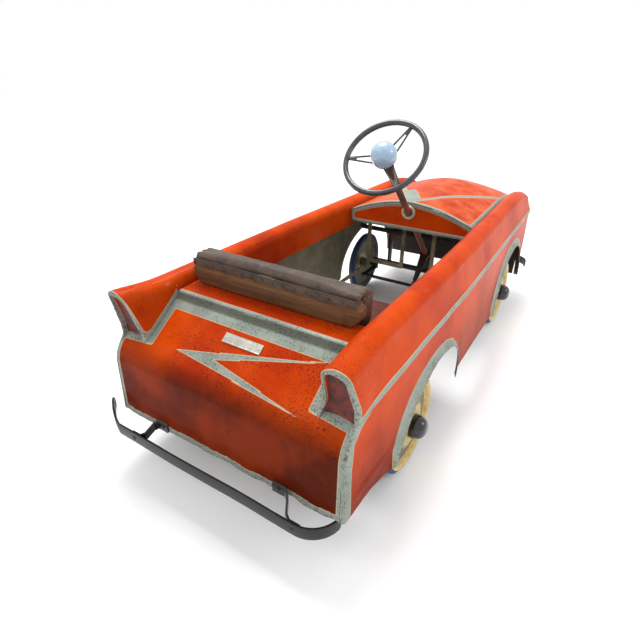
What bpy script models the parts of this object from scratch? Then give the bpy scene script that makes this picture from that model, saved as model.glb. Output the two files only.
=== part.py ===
"""A child's pedal car in pressed sheet steel. Metres, +Z up, the ground at z = 0.

The nose faces -Y and the tail fins +Y. The driver's left is +X. The origin is on the
ground, under the middle of the car's overall box. The rear axle turns with its cranks,
and its right-hand wheel drives; every other wheel turns freely.
"""

import math

import bmesh
import bpy
from mathutils import Matrix, Vector

# ---- Driving dimensions -------------------------------------------------------------
LENGTH = 1.190  # overall, bumper to bumper
WAIST_HALF = 0.2215  # half of the body's width at mid height, from the doors to the tail
NOSE_HALF = 0.205  # the same at the nose
TAPER_START = 0.100  # the sides run straight behind this y
SHEET = 0.0016  # wall of the body panels
GAP = 0.0004  # kept between pieces that touch
RAIL_TOP = 0.318  # top of the rails along the sides
RAIL_WIDTH = 0.044
RAIL_INSET = 0.0145  # the rail's outer face, inside the waist
RAIL_FLANGE_END = 0.254  # lower edge of the rail's inner flange
WAIST_Z = 0.250  # the bead line along the sides
WHEEL_RADIUS = 0.088
TYRE_WIDTH = 0.014
TYRE_DEPTH = 0.0145
REAR_AXLE_Y = 0.327
FRONT_AXLE_Y = -0.285
REAR_TRACK_HALF = 0.2087
FRONT_TRACK_HALF = 0.1980
AXLE_RADIUS = 0.005
BORE_CLEARANCE = 0.0004  # radial, round every shaft
DASH_Y = -0.114
HOOD_FRONT_Y = -0.545
COLUMN_TILT = math.radians(45.4)
COLUMN_RADIUS = 0.0075
BOSS_Z = 0.312  # where the column passes the dash
STEERING_WHEEL_REACH = 0.2099  # from the dash to the wheel, along the column
RIM_RADIUS = 0.0821
RIM_SECTION = 0.0058
SEAT_Z = 0.158  # top of the seat board
SEAT_FRONT_Y = 0.062
SEAT_REAR_Y = 0.392
PEDAL_PIVOT_Y = -0.200
PEDAL_PIVOT_Z = 0.246
PEDAL_DROP = 0.130  # from the pivot to the push rod's eye
CRANK_THROW = 0.024
ROD_X = 0.150  # the push rods' plane
BUMPER_HEIGHT = 0.022
BUMPER_STRIP = 0.004
HANGER_X = 0.180  # the seat rails and the rear bearings

TAIL_Y = LENGTH / 2
NOSE_Y = -LENGTH / 2

COLUMN_DOWN = Vector((0, -math.sin(COLUMN_TILT), -math.cos(COLUMN_TILT)))
COLUMN_PERP = Vector((0, math.cos(COLUMN_TILT), -math.sin(COLUMN_TILT)))
BOSS = Vector((0, DASH_Y + 0.002, BOSS_Z))

# ---- Scene, materials and small helpers ---------------------------------------------
for old in list(bpy.data.objects):
    bpy.data.objects.remove(old, do_unlink=True)

car = bpy.data.collections.new("pedal_car")
helpers = bpy.data.collections.new("cutters")
bpy.context.scene.collection.children.link(car)
bpy.context.scene.collection.children.link(helpers)


def paint(name, colour, roughness, metallic=0.0):
    material = bpy.data.materials.new(name)
    material.use_nodes = True
    shader = material.node_tree.nodes["Principled BSDF"]
    shader.inputs["Base Color"].default_value = (*colour, 1)
    shader.inputs["Roughness"].default_value = roughness
    shader.inputs["Metallic"].default_value = metallic
    return material


ORANGE = paint("orange_paint", (0.60, 0.10, 0.02), 0.35)
BLACK = paint("black_paint", (0.02, 0.02, 0.022), 0.4)
STEEL = paint("worn_steel", (0.30, 0.28, 0.25), 0.5, 0.8)
DARK = paint("dark_frame_paint", (0.05, 0.04, 0.035), 0.6)
PLATE = paint("plate_metal", (0.65, 0.65, 0.66), 0.35, 0.9)
CREAM = paint("cream_paint", (0.62, 0.45, 0.20), 0.5)
RUBBER = paint("blue_rubber", (0.01, 0.03, 0.12), 0.7)
WOOD = paint("wood", (0.16, 0.08, 0.04), 0.7)
LEATHER = paint("leather", (0.12, 0.07, 0.05), 0.6)
GREY = paint("rim_plastic", (0.05, 0.055, 0.06), 0.3)
BLUE = paint("light_blue_plastic", (0.40, 0.55, 0.70), 0.15)


def register(obj, material, parent=None):
    obj.data.materials.clear()
    obj.data.materials.append(material)
    for user in list(obj.users_collection):
        user.objects.unlink(obj)
    car.objects.link(obj)
    if parent is not None:
        obj.parent = parent
    return obj


def to_helpers(obj):
    for user in list(obj.users_collection):
        user.objects.unlink(obj)
    helpers.objects.link(obj)
    obj.hide_render = True
    obj.display_type = "WIRE"
    return obj


def mesh_object(name, bm):
    mesh = bpy.data.meshes.new(name)
    bm.to_mesh(mesh)
    bm.free()
    obj = bpy.data.objects.new(name, mesh)
    car.objects.link(obj)
    return obj


def smooth(obj, angle=35):
    obj.data.shade_smooth()
    obj.data.set_sharp_from_angle(angle=math.radians(angle))
    return obj


def box(name, low, high, bevel=0.0):
    """A block between two corners."""
    low, high = Vector(low), Vector(high)
    bm = bmesh.new()
    bmesh.ops.create_cube(bm, size=1)
    bmesh.ops.scale(bm, vec=high - low, verts=bm.verts)
    bmesh.ops.translate(bm, vec=(low + high) / 2, verts=bm.verts)
    obj = mesh_object(name, bm)
    if bevel:
        add_bevel(obj, bevel)
    return obj


def add_bevel(obj, width, segments=2):
    bevel = obj.modifiers.new("edges", "BEVEL")
    bevel.width = width
    bevel.segments = segments
    bevel.limit_method = "ANGLE"
    return obj


def cylinder(name, start, end, radius, sides=24):
    """A round bar between two points."""
    start, end = Vector(start), Vector(end)
    bm = bmesh.new()
    length = (end - start).length
    bmesh.ops.create_cone(
        bm, cap_ends=True, segments=sides, radius1=radius, radius2=radius, depth=length
    )
    turn = (end - start).to_track_quat("Z", "Y").to_matrix().to_4x4()
    bmesh.ops.transform(bm, matrix=Matrix.Translation((start + end) / 2) @ turn, verts=bm.verts)
    return mesh_object(name, bm)


def baked(obj):
    """The object's evaluated shape as a plain mesh object, in place of the first one."""
    bpy.context.view_layer.update()
    graph = bpy.context.evaluated_depsgraph_get()
    name = obj.name
    mesh = bpy.data.meshes.new_from_object(obj.evaluated_get(graph))
    bm = bmesh.new()
    bm.from_mesh(mesh)
    bmesh.ops.remove_doubles(bm, verts=bm.verts, dist=0.000001)
    bm.to_mesh(mesh)
    bm.free()
    place = obj.matrix_world.copy()
    bpy.data.objects.remove(obj, do_unlink=True)
    solid = bpy.data.objects.new(name, mesh)
    solid.matrix_world = place
    car.objects.link(solid)
    return solid


def plate(name, outline, thickness, holes=()):
    """A flat plate: outline and holes in its own XY plane, centred on z = 0."""
    curve = bpy.data.curves.new(name, "CURVE")
    curve.dimensions = "2D"
    curve.fill_mode = "BOTH"
    curve.extrude = thickness / 2
    for loop in (outline, *holes):
        spline = curve.splines.new("POLY")
        spline.points.add(len(loop) - 1)
        for place, point in zip(spline.points, loop):
            place.co = (*point, 0, 1)
        spline.use_cyclic_u = True
    obj = bpy.data.objects.new(name, curve)
    car.objects.link(obj)
    return baked(obj)


def stand(obj, matrix):
    """Moves a mesh into place by changing its points."""
    obj.data.transform(matrix)
    return obj


# A plate's X becomes +Y and its Y becomes +Z, so its thickness lies along X.
SIDEWAYS = Matrix(((0, 0, 1, 0), (1, 0, 0, 0), (0, 1, 0, 0), (0, 0, 0, 1)))
# A plate's X stays and its Y becomes +Z, so its thickness lies along Y.
UPRIGHT = Matrix.Rotation(math.radians(90), 4, "X")


def arc(centre, radius, start, end, count):
    """Points on a circle, angles in degrees, both ends included."""
    found = []
    for step in range(count + 1):
        angle = math.radians(start + (end - start) * step / count)
        found.append((centre[0] + radius * math.cos(angle), centre[1] + radius * math.sin(angle)))
    return found


def circle(centre, radius, count=24):
    return arc(centre, radius, 0, 360 - 360 / count, count - 1)


def turned(name, profile, steps=48):
    """A closed profile of (radius, height) points, turned round Z."""
    area = 0.0
    for first, second in zip(profile, profile[1:] + profile[:1]):
        area += first[0] * second[1] - second[0] * first[1]
    points = profile if area < 0 else list(reversed(profile))
    bm = bmesh.new()
    ring = [bm.verts.new((radius, 0, height)) for radius, height in points]
    for first, second in zip(ring, ring[1:] + ring[:1]):
        bm.edges.new((first, second))
    obj = mesh_object(name, bm)
    screw = obj.modifiers.new("turn", "SCREW")
    screw.steps = steps
    screw.render_steps = steps
    screw.use_merge_vertices = True
    screw.merge_threshold = 0.00001
    return obj


def dome(name, profile, steps=32):
    """An open profile that starts and ends on the axis, turned round Z."""
    bm = bmesh.new()
    chain = [bm.verts.new((radius, 0, height)) for radius, height in profile]
    for first, second in zip(chain, chain[1:]):
        bm.edges.new((first, second))
    obj = mesh_object(name, bm)
    screw = obj.modifiers.new("turn", "SCREW")
    screw.steps = steps
    screw.render_steps = steps
    screw.use_merge_vertices = True
    screw.merge_threshold = 0.00001
    return obj


def loft(name, rows):
    """An open sheet through rows of points, each row as long as the next."""
    bm = bmesh.new()
    grid = [[bm.verts.new(point) for point in row] for row in rows]
    for above, below in zip(grid, grid[1:]):
        for first, second, third, fourth in zip(above, above[1:], below[1:], below):
            bm.faces.new((first, second, third, fourth))
    return mesh_object(name, bm)


def thicken(obj, wall):
    """Gives a sheet its wall, on the side that its faces point away from."""
    solidify = obj.modifiers.new("wall", "SOLIDIFY")
    solidify.thickness = wall
    solidify.offset = -1
    solidify.use_even_offset = True
    return obj


def combine(obj, other, operation):
    """Cuts, joins or keeps the common part, then drops the other object."""
    boolean = obj.modifiers.new(operation.lower(), "BOOLEAN")
    boolean.operation = operation
    boolean.solver = "EXACT"
    boolean.object = to_helpers(other)
    solid = baked(obj)
    bpy.data.objects.remove(other, do_unlink=True)
    return solid


def joined(obj, *others):
    for other in others:
        obj = combine(obj, other, "UNION")
    return obj


def mirrored_pair(make):
    """Builds a piece for the left (+1) and the right (-1)."""
    return [make(side, word) for side, word in ((1, "left"), (-1, "right"))]


def axis_empty(name, place, parent=None):
    empty = bpy.data.objects.new(name, None)
    empty.empty_display_size = 0.02
    empty.location = place
    car.objects.link(empty)
    if parent is not None:
        empty.parent = parent
        empty.location = Vector(place) - parent.matrix_world.translation
    bpy.context.view_layer.update()
    return empty


def ride_on(obj, empty):
    """Parents a piece to an axis and leaves it where it stands."""
    obj.parent = empty
    obj.matrix_parent_inverse = empty.matrix_world.inverted()
    return obj


# ---- The body's shape ---------------------------------------------------------------
RAIL_RADIUS = RAIL_WIDTH / 2
DROOP_START = -0.38  # the rails fall towards the nose from here
DROOP = 0.030
SIDE_BOTTOM = 0.050  # lower than the sides' cut edge
DECK_PROFILE = (  # (y, z) of the deck's outer face, from the seat back to the lower lip
    (0.3990, 0.2700),
    (0.3990, 0.2930),
    (0.4040, 0.2975),
    (0.4560, 0.2950),
    (0.4620, 0.2850),
    (0.4700, 0.2790),
    (0.5320, 0.2355),
    (0.5460, 0.2245),
    (0.5540, 0.2130),
    (0.5590, 0.1980),
    (0.5605, 0.1640),
    (0.5635, 0.0960),
)
DECK_WIDE_FROM = 0.5180  # behind this y the deck runs out under the fins
FIN_TIP = (0.5640, 0.3300)
FIN_FOOT = (0.5330, 0.2360)
FRONT_EDGE_TOP = (-0.5620, 0.3000)
FRONT_EDGE_FOOT = (-0.5000, 0.0620)
REAR_ARCH = dict(centre=0.270, half=0.141, skew=0.035, foot=0.070, top=0.178)
FRONT_ARCH = dict(centre=-0.333, half=0.151, skew=0.005, foot=0.066, top=0.194)


def half_width(y):
    """Half of the body's width at mid height."""
    if y >= TAPER_START:
        return WAIST_HALF
    share = (TAPER_START - y) / (TAPER_START - FRONT_EDGE_TOP[0])
    return WAIST_HALF + (NOSE_HALF - WAIST_HALF) * share


def droop(y):
    """How far the rails and the hood have fallen at y."""
    if y >= DROOP_START:
        return 0.0
    share = min((DROOP_START - y) / (DROOP_START - FRONT_EDGE_TOP[0]), 1.15)
    return DROOP * share**2


def rail_inner(y):
    """x of the rail's inner flange, outer face."""
    return half_width(y) - RAIL_INSET - RAIL_WIDTH


def deck_z(y):
    """Height of the deck's outer face at y."""
    for (y0, z0), (y1, z1) in zip(DECK_PROFILE[1:], DECK_PROFILE[2:]):
        if y0 <= y <= y1 and y1 > y0:
            return z0 + (z1 - z0) * (y - y0) / (y1 - y0)
    return DECK_PROFILE[-1][1]


def side_section(y):
    """(x, z) points of the left side at y, from the inner flange over the rail and down."""
    waist = half_width(y)
    fall = droop(y)
    inner = rail_inner(y)
    middle = (inner + RAIL_RADIUS, RAIL_TOP - RAIL_RADIUS - fall)
    flange_end = RAIL_FLANGE_END - fall
    if y > DECK_PROFILE[3][0]:
        flange_end = min(flange_end, max(deck_z(y), FIN_FOOT[1]) - 0.008)
    points = [(inner - 0.002, flange_end), (inner - 0.0005, RAIL_TOP - RAIL_RADIUS - 0.012 - fall)]
    points += arc(middle, RAIL_RADIUS, 180, 0, 8)
    points += [
        (waist - 0.0040, WAIST_Z),
        (waist - 0.0005, 0.170),
        (waist + 0.0015, SIDE_BOTTOM),
    ]
    return points


def arch_points(centre, half, skew, foot, top, count=14):
    """A wheel arch's edge from its rear foot over to its front foot, as (y, z)."""
    found = []
    for step in range(count + 1):
        angle = math.pi * step / count
        y = centre + half * math.cos(angle) - skew * math.sin(angle)
        found.append((y, foot + (top - foot) * math.sin(angle)))
    return found


def side_outline():
    """The side's edge in side view, as (y, z), anticlockwise from the fin's tip."""
    tail = [point for point in DECK_PROFILE if point[0] > FIN_FOOT[0]]
    outline = [(FIN_TIP[0] + 0.004, RAIL_TOP + 0.030), FIN_TIP, FIN_FOOT]
    outline += tail
    outline += [(0.490, 0.091)]
    outline += arch_points(**REAR_ARCH)
    outline += [(0.080, 0.076), (-0.060, 0.072)]
    outline += arch_points(**FRONT_ARCH)
    outline += [FRONT_EDGE_FOOT, FRONT_EDGE_TOP, (FRONT_EDGE_TOP[0], RAIL_TOP + 0.030)]
    return outline


def body_side(side, word):
    stations = [0.575, 0.533, 0.490, 0.457, 0.400, TAPER_START, -0.150, DROOP_START]
    stations += [-0.430, -0.480, -0.520, -0.570]
    rows = [[(side * x, y, z) for x, z in side_section(y)] for y in stations]
    if side > 0:
        rows.reverse()
    sheet = thicken(loft("body_side_" + word, rows), SHEET)
    window = stand(plate("window", side_outline(), 0.16), SIDEWAYS)
    window.data.transform(Matrix.Translation((side * 0.185, 0, 0)))
    shell = combine(sheet, window, "INTERSECT")
    under = deck_cutter(DECK_WIDE_FROM - GAP, GAP)
    shell = combine(shell, under, "DIFFERENCE")
    return register(smooth(shell), ORANGE)


def deck_cutter(y_from, clearance):
    """The room that the wide part of the deck takes under the fins."""
    outline = [(y_from, deck_z(y_from) + clearance)]
    outline += [(y, z + clearance) for y, z in DECK_PROFILE if y > y_from]
    outline = [point for point in outline if point[1] > 0.18]
    outline += [(outline[-1][0], 0.12), (y_from, 0.12)]
    width = 2 * (half_width(0.53) - SHEET - 0.0035)
    return stand(plate("under_fins", outline, width), SIDEWAYS)


mirrored_pair(body_side)


def offset_profile(points, distance):
    """The points moved to the left of their path, for the inner face of a bent sheet."""
    moved = []
    for index, point in enumerate(points):
        before = Vector(points[max(index - 1, 0)])
        after = Vector(points[min(index + 1, len(points) - 1)])
        along = (after - before).normalized()
        across = Vector((-along[1], along[0]))
        moved.append(tuple(Vector(point) + across * distance))
    return moved


def rear_deck():
    """The deck and tail in one pressing: narrow between the fins, wide behind them."""
    inner = offset_profile(DECK_PROFILE, -SHEET)
    outline = list(DECK_PROFILE) + list(reversed(inner))
    wide = 2 * (half_width(0.55) - SHEET - GAP - 0.0040)
    narrow_half = rail_inner(0.5) - 0.002 - GAP
    deck = stand(plate("rear_deck", outline, wide), SIDEWAYS)
    for side in (1, -1):
        low = (side * narrow_half, 0.39, 0.15)
        high = (side * 0.3, DECK_WIDE_FROM, 0.35)
        corner_a = [min(low[0], high[0]), low[1], low[2]]
        corner_b = [max(low[0], high[0]), high[1], high[2]]
        deck = combine(deck, box("beside_fins", corner_a, corner_b), "DIFFERENCE")
    return register(smooth(deck, 25), ORANGE)


rear_deck()

# ---- Hood, dash and nose ------------------------------------------------------------
HOOD_EDGE_Z = 0.299
HOOD_CROWN = 0.038


def hood_z(share, y):
    """Height of the hood at a share of its half width, from 0 in the middle to 1."""
    crown = HOOD_CROWN + 0.004 * math.sin(math.pi * min((DASH_Y - y) / 0.4, 1))
    crown -= 0.012 * max(0.0, (-0.40 - y) / 0.145)
    return HOOD_EDGE_Z - 0.8 * droop(y) + crown * (1 - abs(share) ** 1.8)


def hood():
    shares = [index / 8 for index in range(-8, 9)]
    ys = [DASH_Y - GAP, -0.20, -0.28, DROOP_START, -0.43, -0.48, -0.515, HOOD_FRONT_Y]
    rows = []
    for y in ys:
        half = rail_inner(y) - 0.002 - GAP
        rows.append([(-share * half, y, hood_z(share, y)) for share in shares])
    return register(smooth(thicken(loft("hood", rows), SHEET)), ORANGE)


hood()


def dashboard():
    half = rail_inner(DASH_Y) - 0.002 - GAP
    shares = [index / 8 for index in range(8, -9, -1)]
    outline = [(share * half, hood_z(share, DASH_Y) - SHEET - GAP) for share in shares]
    outline = [(-half, 0.268), (half, 0.268)] + outline
    panel_y = DASH_Y - 0.001 - SHEET / 2
    hole_z = BOSS_Z - (BOSS.y - panel_y) / math.tan(COLUMN_TILT)
    hole = []
    for x, z in circle((0, 0), COLUMN_RADIUS + 0.002, 20):
        hole.append((x, hole_z + z / math.sin(COLUMN_TILT)))
    panel = stand(plate("dashboard", outline, SHEET, [hole]), UPRIGHT)
    panel.data.transform(Matrix.Translation((0, panel_y, 0)))
    return register(panel, ORANGE)


dashboard()

NOSE_RUN = FRONT_EDGE_FOOT[0] - FRONT_EDGE_TOP[0]
NOSE_LEAN = math.atan2(NOSE_RUN, FRONT_EDGE_TOP[1] - FRONT_EDGE_FOOT[1])
NOSE_RECESS = 0.006
GRILLE_SLOTS = 5
LAMP_X = 0.150
LAMP_UP = 0.125  # up the nose from its foot


def nose_frame():
    """Maps a flat plate's XY onto the leaning nose, with its foot on the front edge."""
    lean = Matrix.Rotation(NOSE_LEAN, 4, "X")
    foot = Vector((0, FRONT_EDGE_FOOT[0] + NOSE_RECESS, FRONT_EDGE_FOOT[1]))
    return Matrix.Translation(foot) @ lean @ UPRIGHT


def on_nose(z):
    """Distance up the leaning panel at which it reaches a height."""
    return (z - FRONT_EDGE_FOOT[1]) / math.cos(NOSE_LEAN)


def front_panel():
    """The nose: it fills the front of both rails and has a slot for each rail's flange."""
    half = NOSE_HALF - SHEET - 0.0050
    inner = rail_inner(FRONT_EDGE_TOP[0])
    fall = droop(FRONT_EDGE_TOP[0])
    top = on_nose(RAIL_TOP - fall - 0.004)
    slot = on_nose(RAIL_FLANGE_END - fall - 0.002)
    outline = [(half, 0.035), (half, top - 0.060), (half - 0.012, top - 0.014)]
    outline += [(inner + RAIL_RADIUS + 0.010, top - 0.004), (inner + RAIL_RADIUS, top)]
    outline += [(inner + RAIL_RADIUS - 0.010, top - 0.003), (inner + 0.0040, top - 0.016)]
    outline += [(inner + 0.0040, slot), (inner - 0.0050, slot)]
    for share in (1.0, 0.75, 0.5, 0.25):
        outline.append((share * (inner - 0.0050), on_nose(hood_z(share, HOOD_FRONT_Y))))
    middle = [(0, on_nose(hood_z(0, HOOD_FRONT_Y)))]
    outline += middle + [(-x, z) for x, z in reversed(outline)]
    slots = []
    for row in range(GRILLE_SLOTS):
        z = 0.075 + 0.020 * row
        for x in (0.006, -0.100):
            slots.append([(x, z), (x + 0.094, z), (x + 0.094, z + 0.009), (x, z + 0.009)])
    panel = stand(plate("front_panel", outline, SHEET, slots), nose_frame())
    return register(panel, ORANGE)


front_panel()


def headlamp(side, word):
    """A pressed dummy lamp on the nose."""
    foot = SHEET / 2 + GAP
    profile = [(0.0, 0.0165), (0.0080, 0.0160), (0.0160, 0.0140), (0.0235, 0.0095)]
    profile += [(0.0240, 0.0120), (0.0280, 0.0105), (0.0285, 0.0030), (0.0270, foot), (0.0, foot)]
    lamp = dome("headlamp_" + word, profile, 24)
    lamp.matrix_world = nose_frame() @ Matrix.Translation((side * LAMP_X, LAMP_UP, 0))
    return register(smooth(lamp), PLATE)


mirrored_pair(headlamp)

# ---- Bumpers and nameplate ----------------------------------------------------------
BUMPER_Z = 0.080
BUMPER_STRAIGHT_HALF = 0.172
BUMPER_BEND = 0.049
BRACKET_X = 0.119  # middle of the tab on the body
BRACKET_STRIP = 0.003
TAIL_FACE_Y = 0.5635
TAB_HEIGHT = 0.014
TAIL_TAB_RISE = 0.024  # the tab on the tail, above the bumper
NOSE_TAB_RISE = 0.026


def strip(name, path, thickness, height):
    """A flat strip standing on edge along a plan path of (x, y) points."""
    return plate(name, list(path) + list(reversed(offset_profile(path, thickness))), height)


def bumper(name, end, y_outer):
    """end is +1 for the tail and -1 for the nose."""
    centre = BUMPER_STRAIGHT_HALF
    bend = arc((centre, 0), BUMPER_BEND, 90, 8, 6)
    path = [(-x, y - BUMPER_BEND) for x, y in reversed(bend)]
    path += [(x, y - BUMPER_BEND) for x, y in bend]
    bar = strip(name, path, -BUMPER_STRIP, BUMPER_HEIGHT)
    turn = Matrix.Identity(4) if end > 0 else Matrix.Rotation(math.pi, 4, "Z")
    stand(bar, Matrix.Translation((0, y_outer, BUMPER_Z)) @ turn)
    return register(smooth(bar), BLACK)


bumper("rear_bumper", 1, TAIL_Y)
bumper("front_bumper", -1, NOSE_Y)


def bumper_bracket(name, side, end, body_y, rise):
    """A bent strap from a tab on the body to the inner face of the bumper."""
    bumper_face = end * (TAIL_Y - BUMPER_STRIP - GAP)
    reach = abs(bumper_face - body_y) - BRACKET_STRIP
    path = [(-0.012, 0), (0.010, 0), (0.018, 0.005), (0.026, reach - 0.004)]
    path += [(0.033, reach), (0.050, reach)]
    strap = strip(name, path, BRACKET_STRIP, TAB_HEIGHT)
    for vertex in strap.data.vertices:
        share = min(max(vertex.co.y / reach, 0), 1)
        vertex.co.z += rise * (1 - share)
    mirror = Matrix.Diagonal((side, end, 1, 1))
    stand(strap, Matrix.Translation((side * BRACKET_X, body_y, BUMPER_Z)) @ mirror)
    if side * end < 0:
        strap.data.flip_normals()
    return register(strap, BLACK)


def rear_bracket(side, word):
    return bumper_bracket("rear_bumper_bracket_" + word, side, 1, TAIL_FACE_Y + GAP, TAIL_TAB_RISE)


def front_bracket(side, word):
    tab_top = BUMPER_Z + NOSE_TAB_RISE + TAB_HEIGHT / 2
    panel_face = nose_frame() @ Vector((0, on_nose(tab_top), SHEET / 2))
    body_y = panel_face.y - GAP
    return bumper_bracket("front_bumper_bracket_" + word, side, -1, body_y, NOSE_TAB_RISE)


mirrored_pair(rear_bracket)
mirrored_pair(front_bracket)


def nameplate():
    (y0, z0), (y1, z1) = DECK_PROFILE[5], DECK_PROFILE[6]
    slope = math.atan2(z1 - z0, y1 - y0)
    plate_y = 0.4915
    badge = box("nameplate", (-0.0355, -0.0078, GAP), (0.0355, 0.0078, 0.0014 + GAP))
    place = Matrix.Translation((-0.005, plate_y, deck_z(plate_y)))
    stand(badge, place @ Matrix.Rotation(slope, 4, "X"))
    return register(badge, PLATE)


nameplate()

# ---- Seat and backrest --------------------------------------------------------------
SEAT_THICKNESS = 0.012
SEAT_HALF = 0.195
RAIL_BAR = 0.006
RAIL_HEIGHT = 0.021
CROSS_BAR = 0.008
RAIL_BAR_TOP = SEAT_Z - SEAT_THICKNESS - GAP
RAIL_BAR_FOOT = RAIL_BAR_TOP - RAIL_HEIGHT
CROSS_FRONT_Y = SEAT_FRONT_Y + 0.010
CROSS_REAR_Y = 0.432
BOARD_FRONT_Y = 0.3995
BOARD_THICKNESS = 0.022
BOARD_FOOT = 0.2985
BOARD_HEIGHT = 0.040
BOARD_HALF = rail_inner(BOARD_FRONT_Y) - 0.0055
STRAP_THICKNESS = 0.003
PAD_TOP = 0.350

seat = box(
    "seat_board",
    (-SEAT_HALF, SEAT_FRONT_Y, SEAT_Z - SEAT_THICKNESS),
    (SEAT_HALF, SEAT_REAR_Y, SEAT_Z),
    0.002,
)
register(seat, WOOD)


def cross_member(name, y):
    half = half_width(y) - 0.0010 - SHEET - GAP
    low = (-half, y - CROSS_BAR / 2, RAIL_BAR_FOOT)
    return register(box(name, low, (half, y + CROSS_BAR / 2, RAIL_BAR_TOP)), DARK)


cross_member("seat_cross_member_front", CROSS_FRONT_Y)
cross_member("seat_cross_member_rear", CROSS_REAR_Y)


def seat_rail(side, word):
    low_y = CROSS_FRONT_Y + CROSS_BAR / 2 + GAP
    high_y = CROSS_REAR_Y - CROSS_BAR / 2 - GAP
    middle = side * HANGER_X
    low = (middle - RAIL_BAR / 2, low_y, RAIL_BAR_FOOT)
    high = (middle + RAIL_BAR / 2, high_y, RAIL_BAR_TOP)
    return register(box("seat_rail_" + word, low, high), DARK)


mirrored_pair(seat_rail)


def backrest_board():
    clip = 0.013
    foot, top = BOARD_FOOT, BOARD_FOOT + BOARD_HEIGHT
    outline = [(-BOARD_HALF, foot), (BOARD_HALF, foot), (BOARD_HALF, top - clip)]
    outline += [(BOARD_HALF - clip, top), (clip - BOARD_HALF, top), (-BOARD_HALF, top - clip)]
    board = stand(plate("backrest_board", outline, BOARD_THICKNESS), UPRIGHT)
    board.data.transform(Matrix.Translation((0, BOARD_FRONT_Y + BOARD_THICKNESS / 2, 0)))
    return register(board, WOOD)


backrest_board()


def backrest_strap(side, word):
    middle = side * 0.100
    face = DECK_PROFILE[0][0] - GAP
    low = (middle - 0.010, face - STRAP_THICKNESS, DECK_PROFILE[0][1] + 0.001)
    high = (middle + 0.010, face, BOARD_FOOT + 0.034)
    return register(box("backrest_strap_" + word, low, high), STEEL)


mirrored_pair(backrest_strap)


def backrest_pad():
    """The leather-covered pad, over the front and the top of the board."""
    back = BOARD_FRONT_Y - STRAP_THICKNESS - 3 * GAP
    over = BOARD_FOOT + BOARD_HEIGHT + 2 * GAP
    rear = BOARD_FRONT_Y + BOARD_THICKNESS
    outline = [(rear, over), (rear, PAD_TOP - 0.006), (rear - 0.008, PAD_TOP - 0.001)]
    outline += [(back - 0.008, PAD_TOP), (back - 0.019, PAD_TOP - 0.006)]
    outline += [(back - 0.025, PAD_TOP - 0.020), (back - 0.024, 0.290), (back, 0.286), (back, over)]
    pad = stand(plate("backrest_pad", outline, 2 * BOARD_HALF), SIDEWAYS)
    return register(smooth(pad), LEATHER)


backrest_pad()

# ---- Rear axle, cranks and bearings -------------------------------------------------
HUB_OUT = 0.0120  # the wheel's hub past its middle plane, outwards
HUB_IN = 0.0080
HUB_RADIUS = 0.011
AXLE_PAST_HUB = 0.0015
CRANK_PLATE = 0.004
CRANK_PIN_RADIUS = 0.0035
ROD_STRAP = 0.003
PIN_GAP = 0.0006  # between a crank pin's end and the push rod's eye: the open pivot

rear_axis = axis_empty("rear_axle_axis", (0, REAR_AXLE_Y, WHEEL_RADIUS))
AXLE_HALF = REAR_TRACK_HALF + HUB_OUT + AXLE_PAST_HUB


def rear_axle():
    start = (-AXLE_HALF, REAR_AXLE_Y, WHEEL_RADIUS)
    bar = cylinder("rear_axle", start, (AXLE_HALF, REAR_AXLE_Y, WHEEL_RADIUS), AXLE_RADIUS)
    return ride_on(register(smooth(bar), STEEL), rear_axis)


rear_axle()


def rear_hanger(side, word):
    """The plate under a seat rail that holds the rear axle."""
    outline = [(-0.020, RAIL_BAR_FOOT - GAP - WHEEL_RADIUS), (-0.012, -0.006)]
    outline += arc((0, 0), 0.013, 205, 335, 8)
    outline += [(0.012, -0.006), (0.020, RAIL_BAR_FOOT - GAP - WHEEL_RADIUS)]
    hole = circle((0, 0), AXLE_RADIUS + BORE_CLEARANCE)
    hanger = plate("rear_hanger_" + word, outline, 0.004, [hole])
    place = Matrix.Translation((side * HANGER_X, REAR_AXLE_Y, WHEEL_RADIUS))
    return register(stand(hanger, place @ SIDEWAYS), DARK)


mirrored_pair(rear_hanger)


def crank_arm(side, word):
    """The left crank stands up at rest, and the right one down."""
    up = side
    ring = arc((0, 0), 0.011, 180, 360, 10) + arc((0, CRANK_THROW), 0.008, 0, 180, 10)
    if up < 0:
        ring = [(-y, -z) for y, z in ring]
    rod_face = ROD_X - ROD_STRAP / 2
    pin_end = rod_face - PIN_GAP
    plate_x = pin_end - 0.005 - CRANK_PLATE / 2
    hole = circle((0, 0), AXLE_RADIUS + BORE_CLEARANCE)
    arm = plate("crank_arm_" + word, ring, CRANK_PLATE, [hole])
    stand(arm, Matrix.Translation((side * plate_x, REAR_AXLE_Y, WHEEL_RADIUS)) @ SIDEWAYS)
    pin_z = WHEEL_RADIUS + up * CRANK_THROW
    start = (side * plate_x, REAR_AXLE_Y, pin_z)
    pin = cylinder("pin", start, (side * pin_end, REAR_AXLE_Y, pin_z), CRANK_PIN_RADIUS, 16)
    return ride_on(register(joined(arm, pin), STEEL), rear_axis)


mirrored_pair(crank_arm)

# ---- Wheels -------------------------------------------------------------------------
RIM = WHEEL_RADIUS - TYRE_DEPTH


def disc_profile():
    """A crowned pressing with a rim channel and a hub tube."""
    bore = AXLE_RADIUS + BORE_CLEARANCE
    lip = 0.0060
    face = [(bore, HUB_OUT), (HUB_RADIUS, HUB_OUT), (0.0125, 0.0098), (0.0320, 0.0088)]
    face += [(RIM - 0.0250, 0.0062), (RIM - 0.0080, 0.0012), (RIM - 0.0040, lip)]
    face += [(RIM - GAP, lip), (RIM - GAP, -lip), (RIM - 0.0030, -lip)]
    back = [(RIM - 0.0090, -0.0004), (RIM - 0.0254, 0.0046), (0.0320, 0.0072)]
    back += [(HUB_RADIUS, 0.0076), (HUB_RADIUS, -HUB_IN), (bore, -HUB_IN)]
    return face + back


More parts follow.
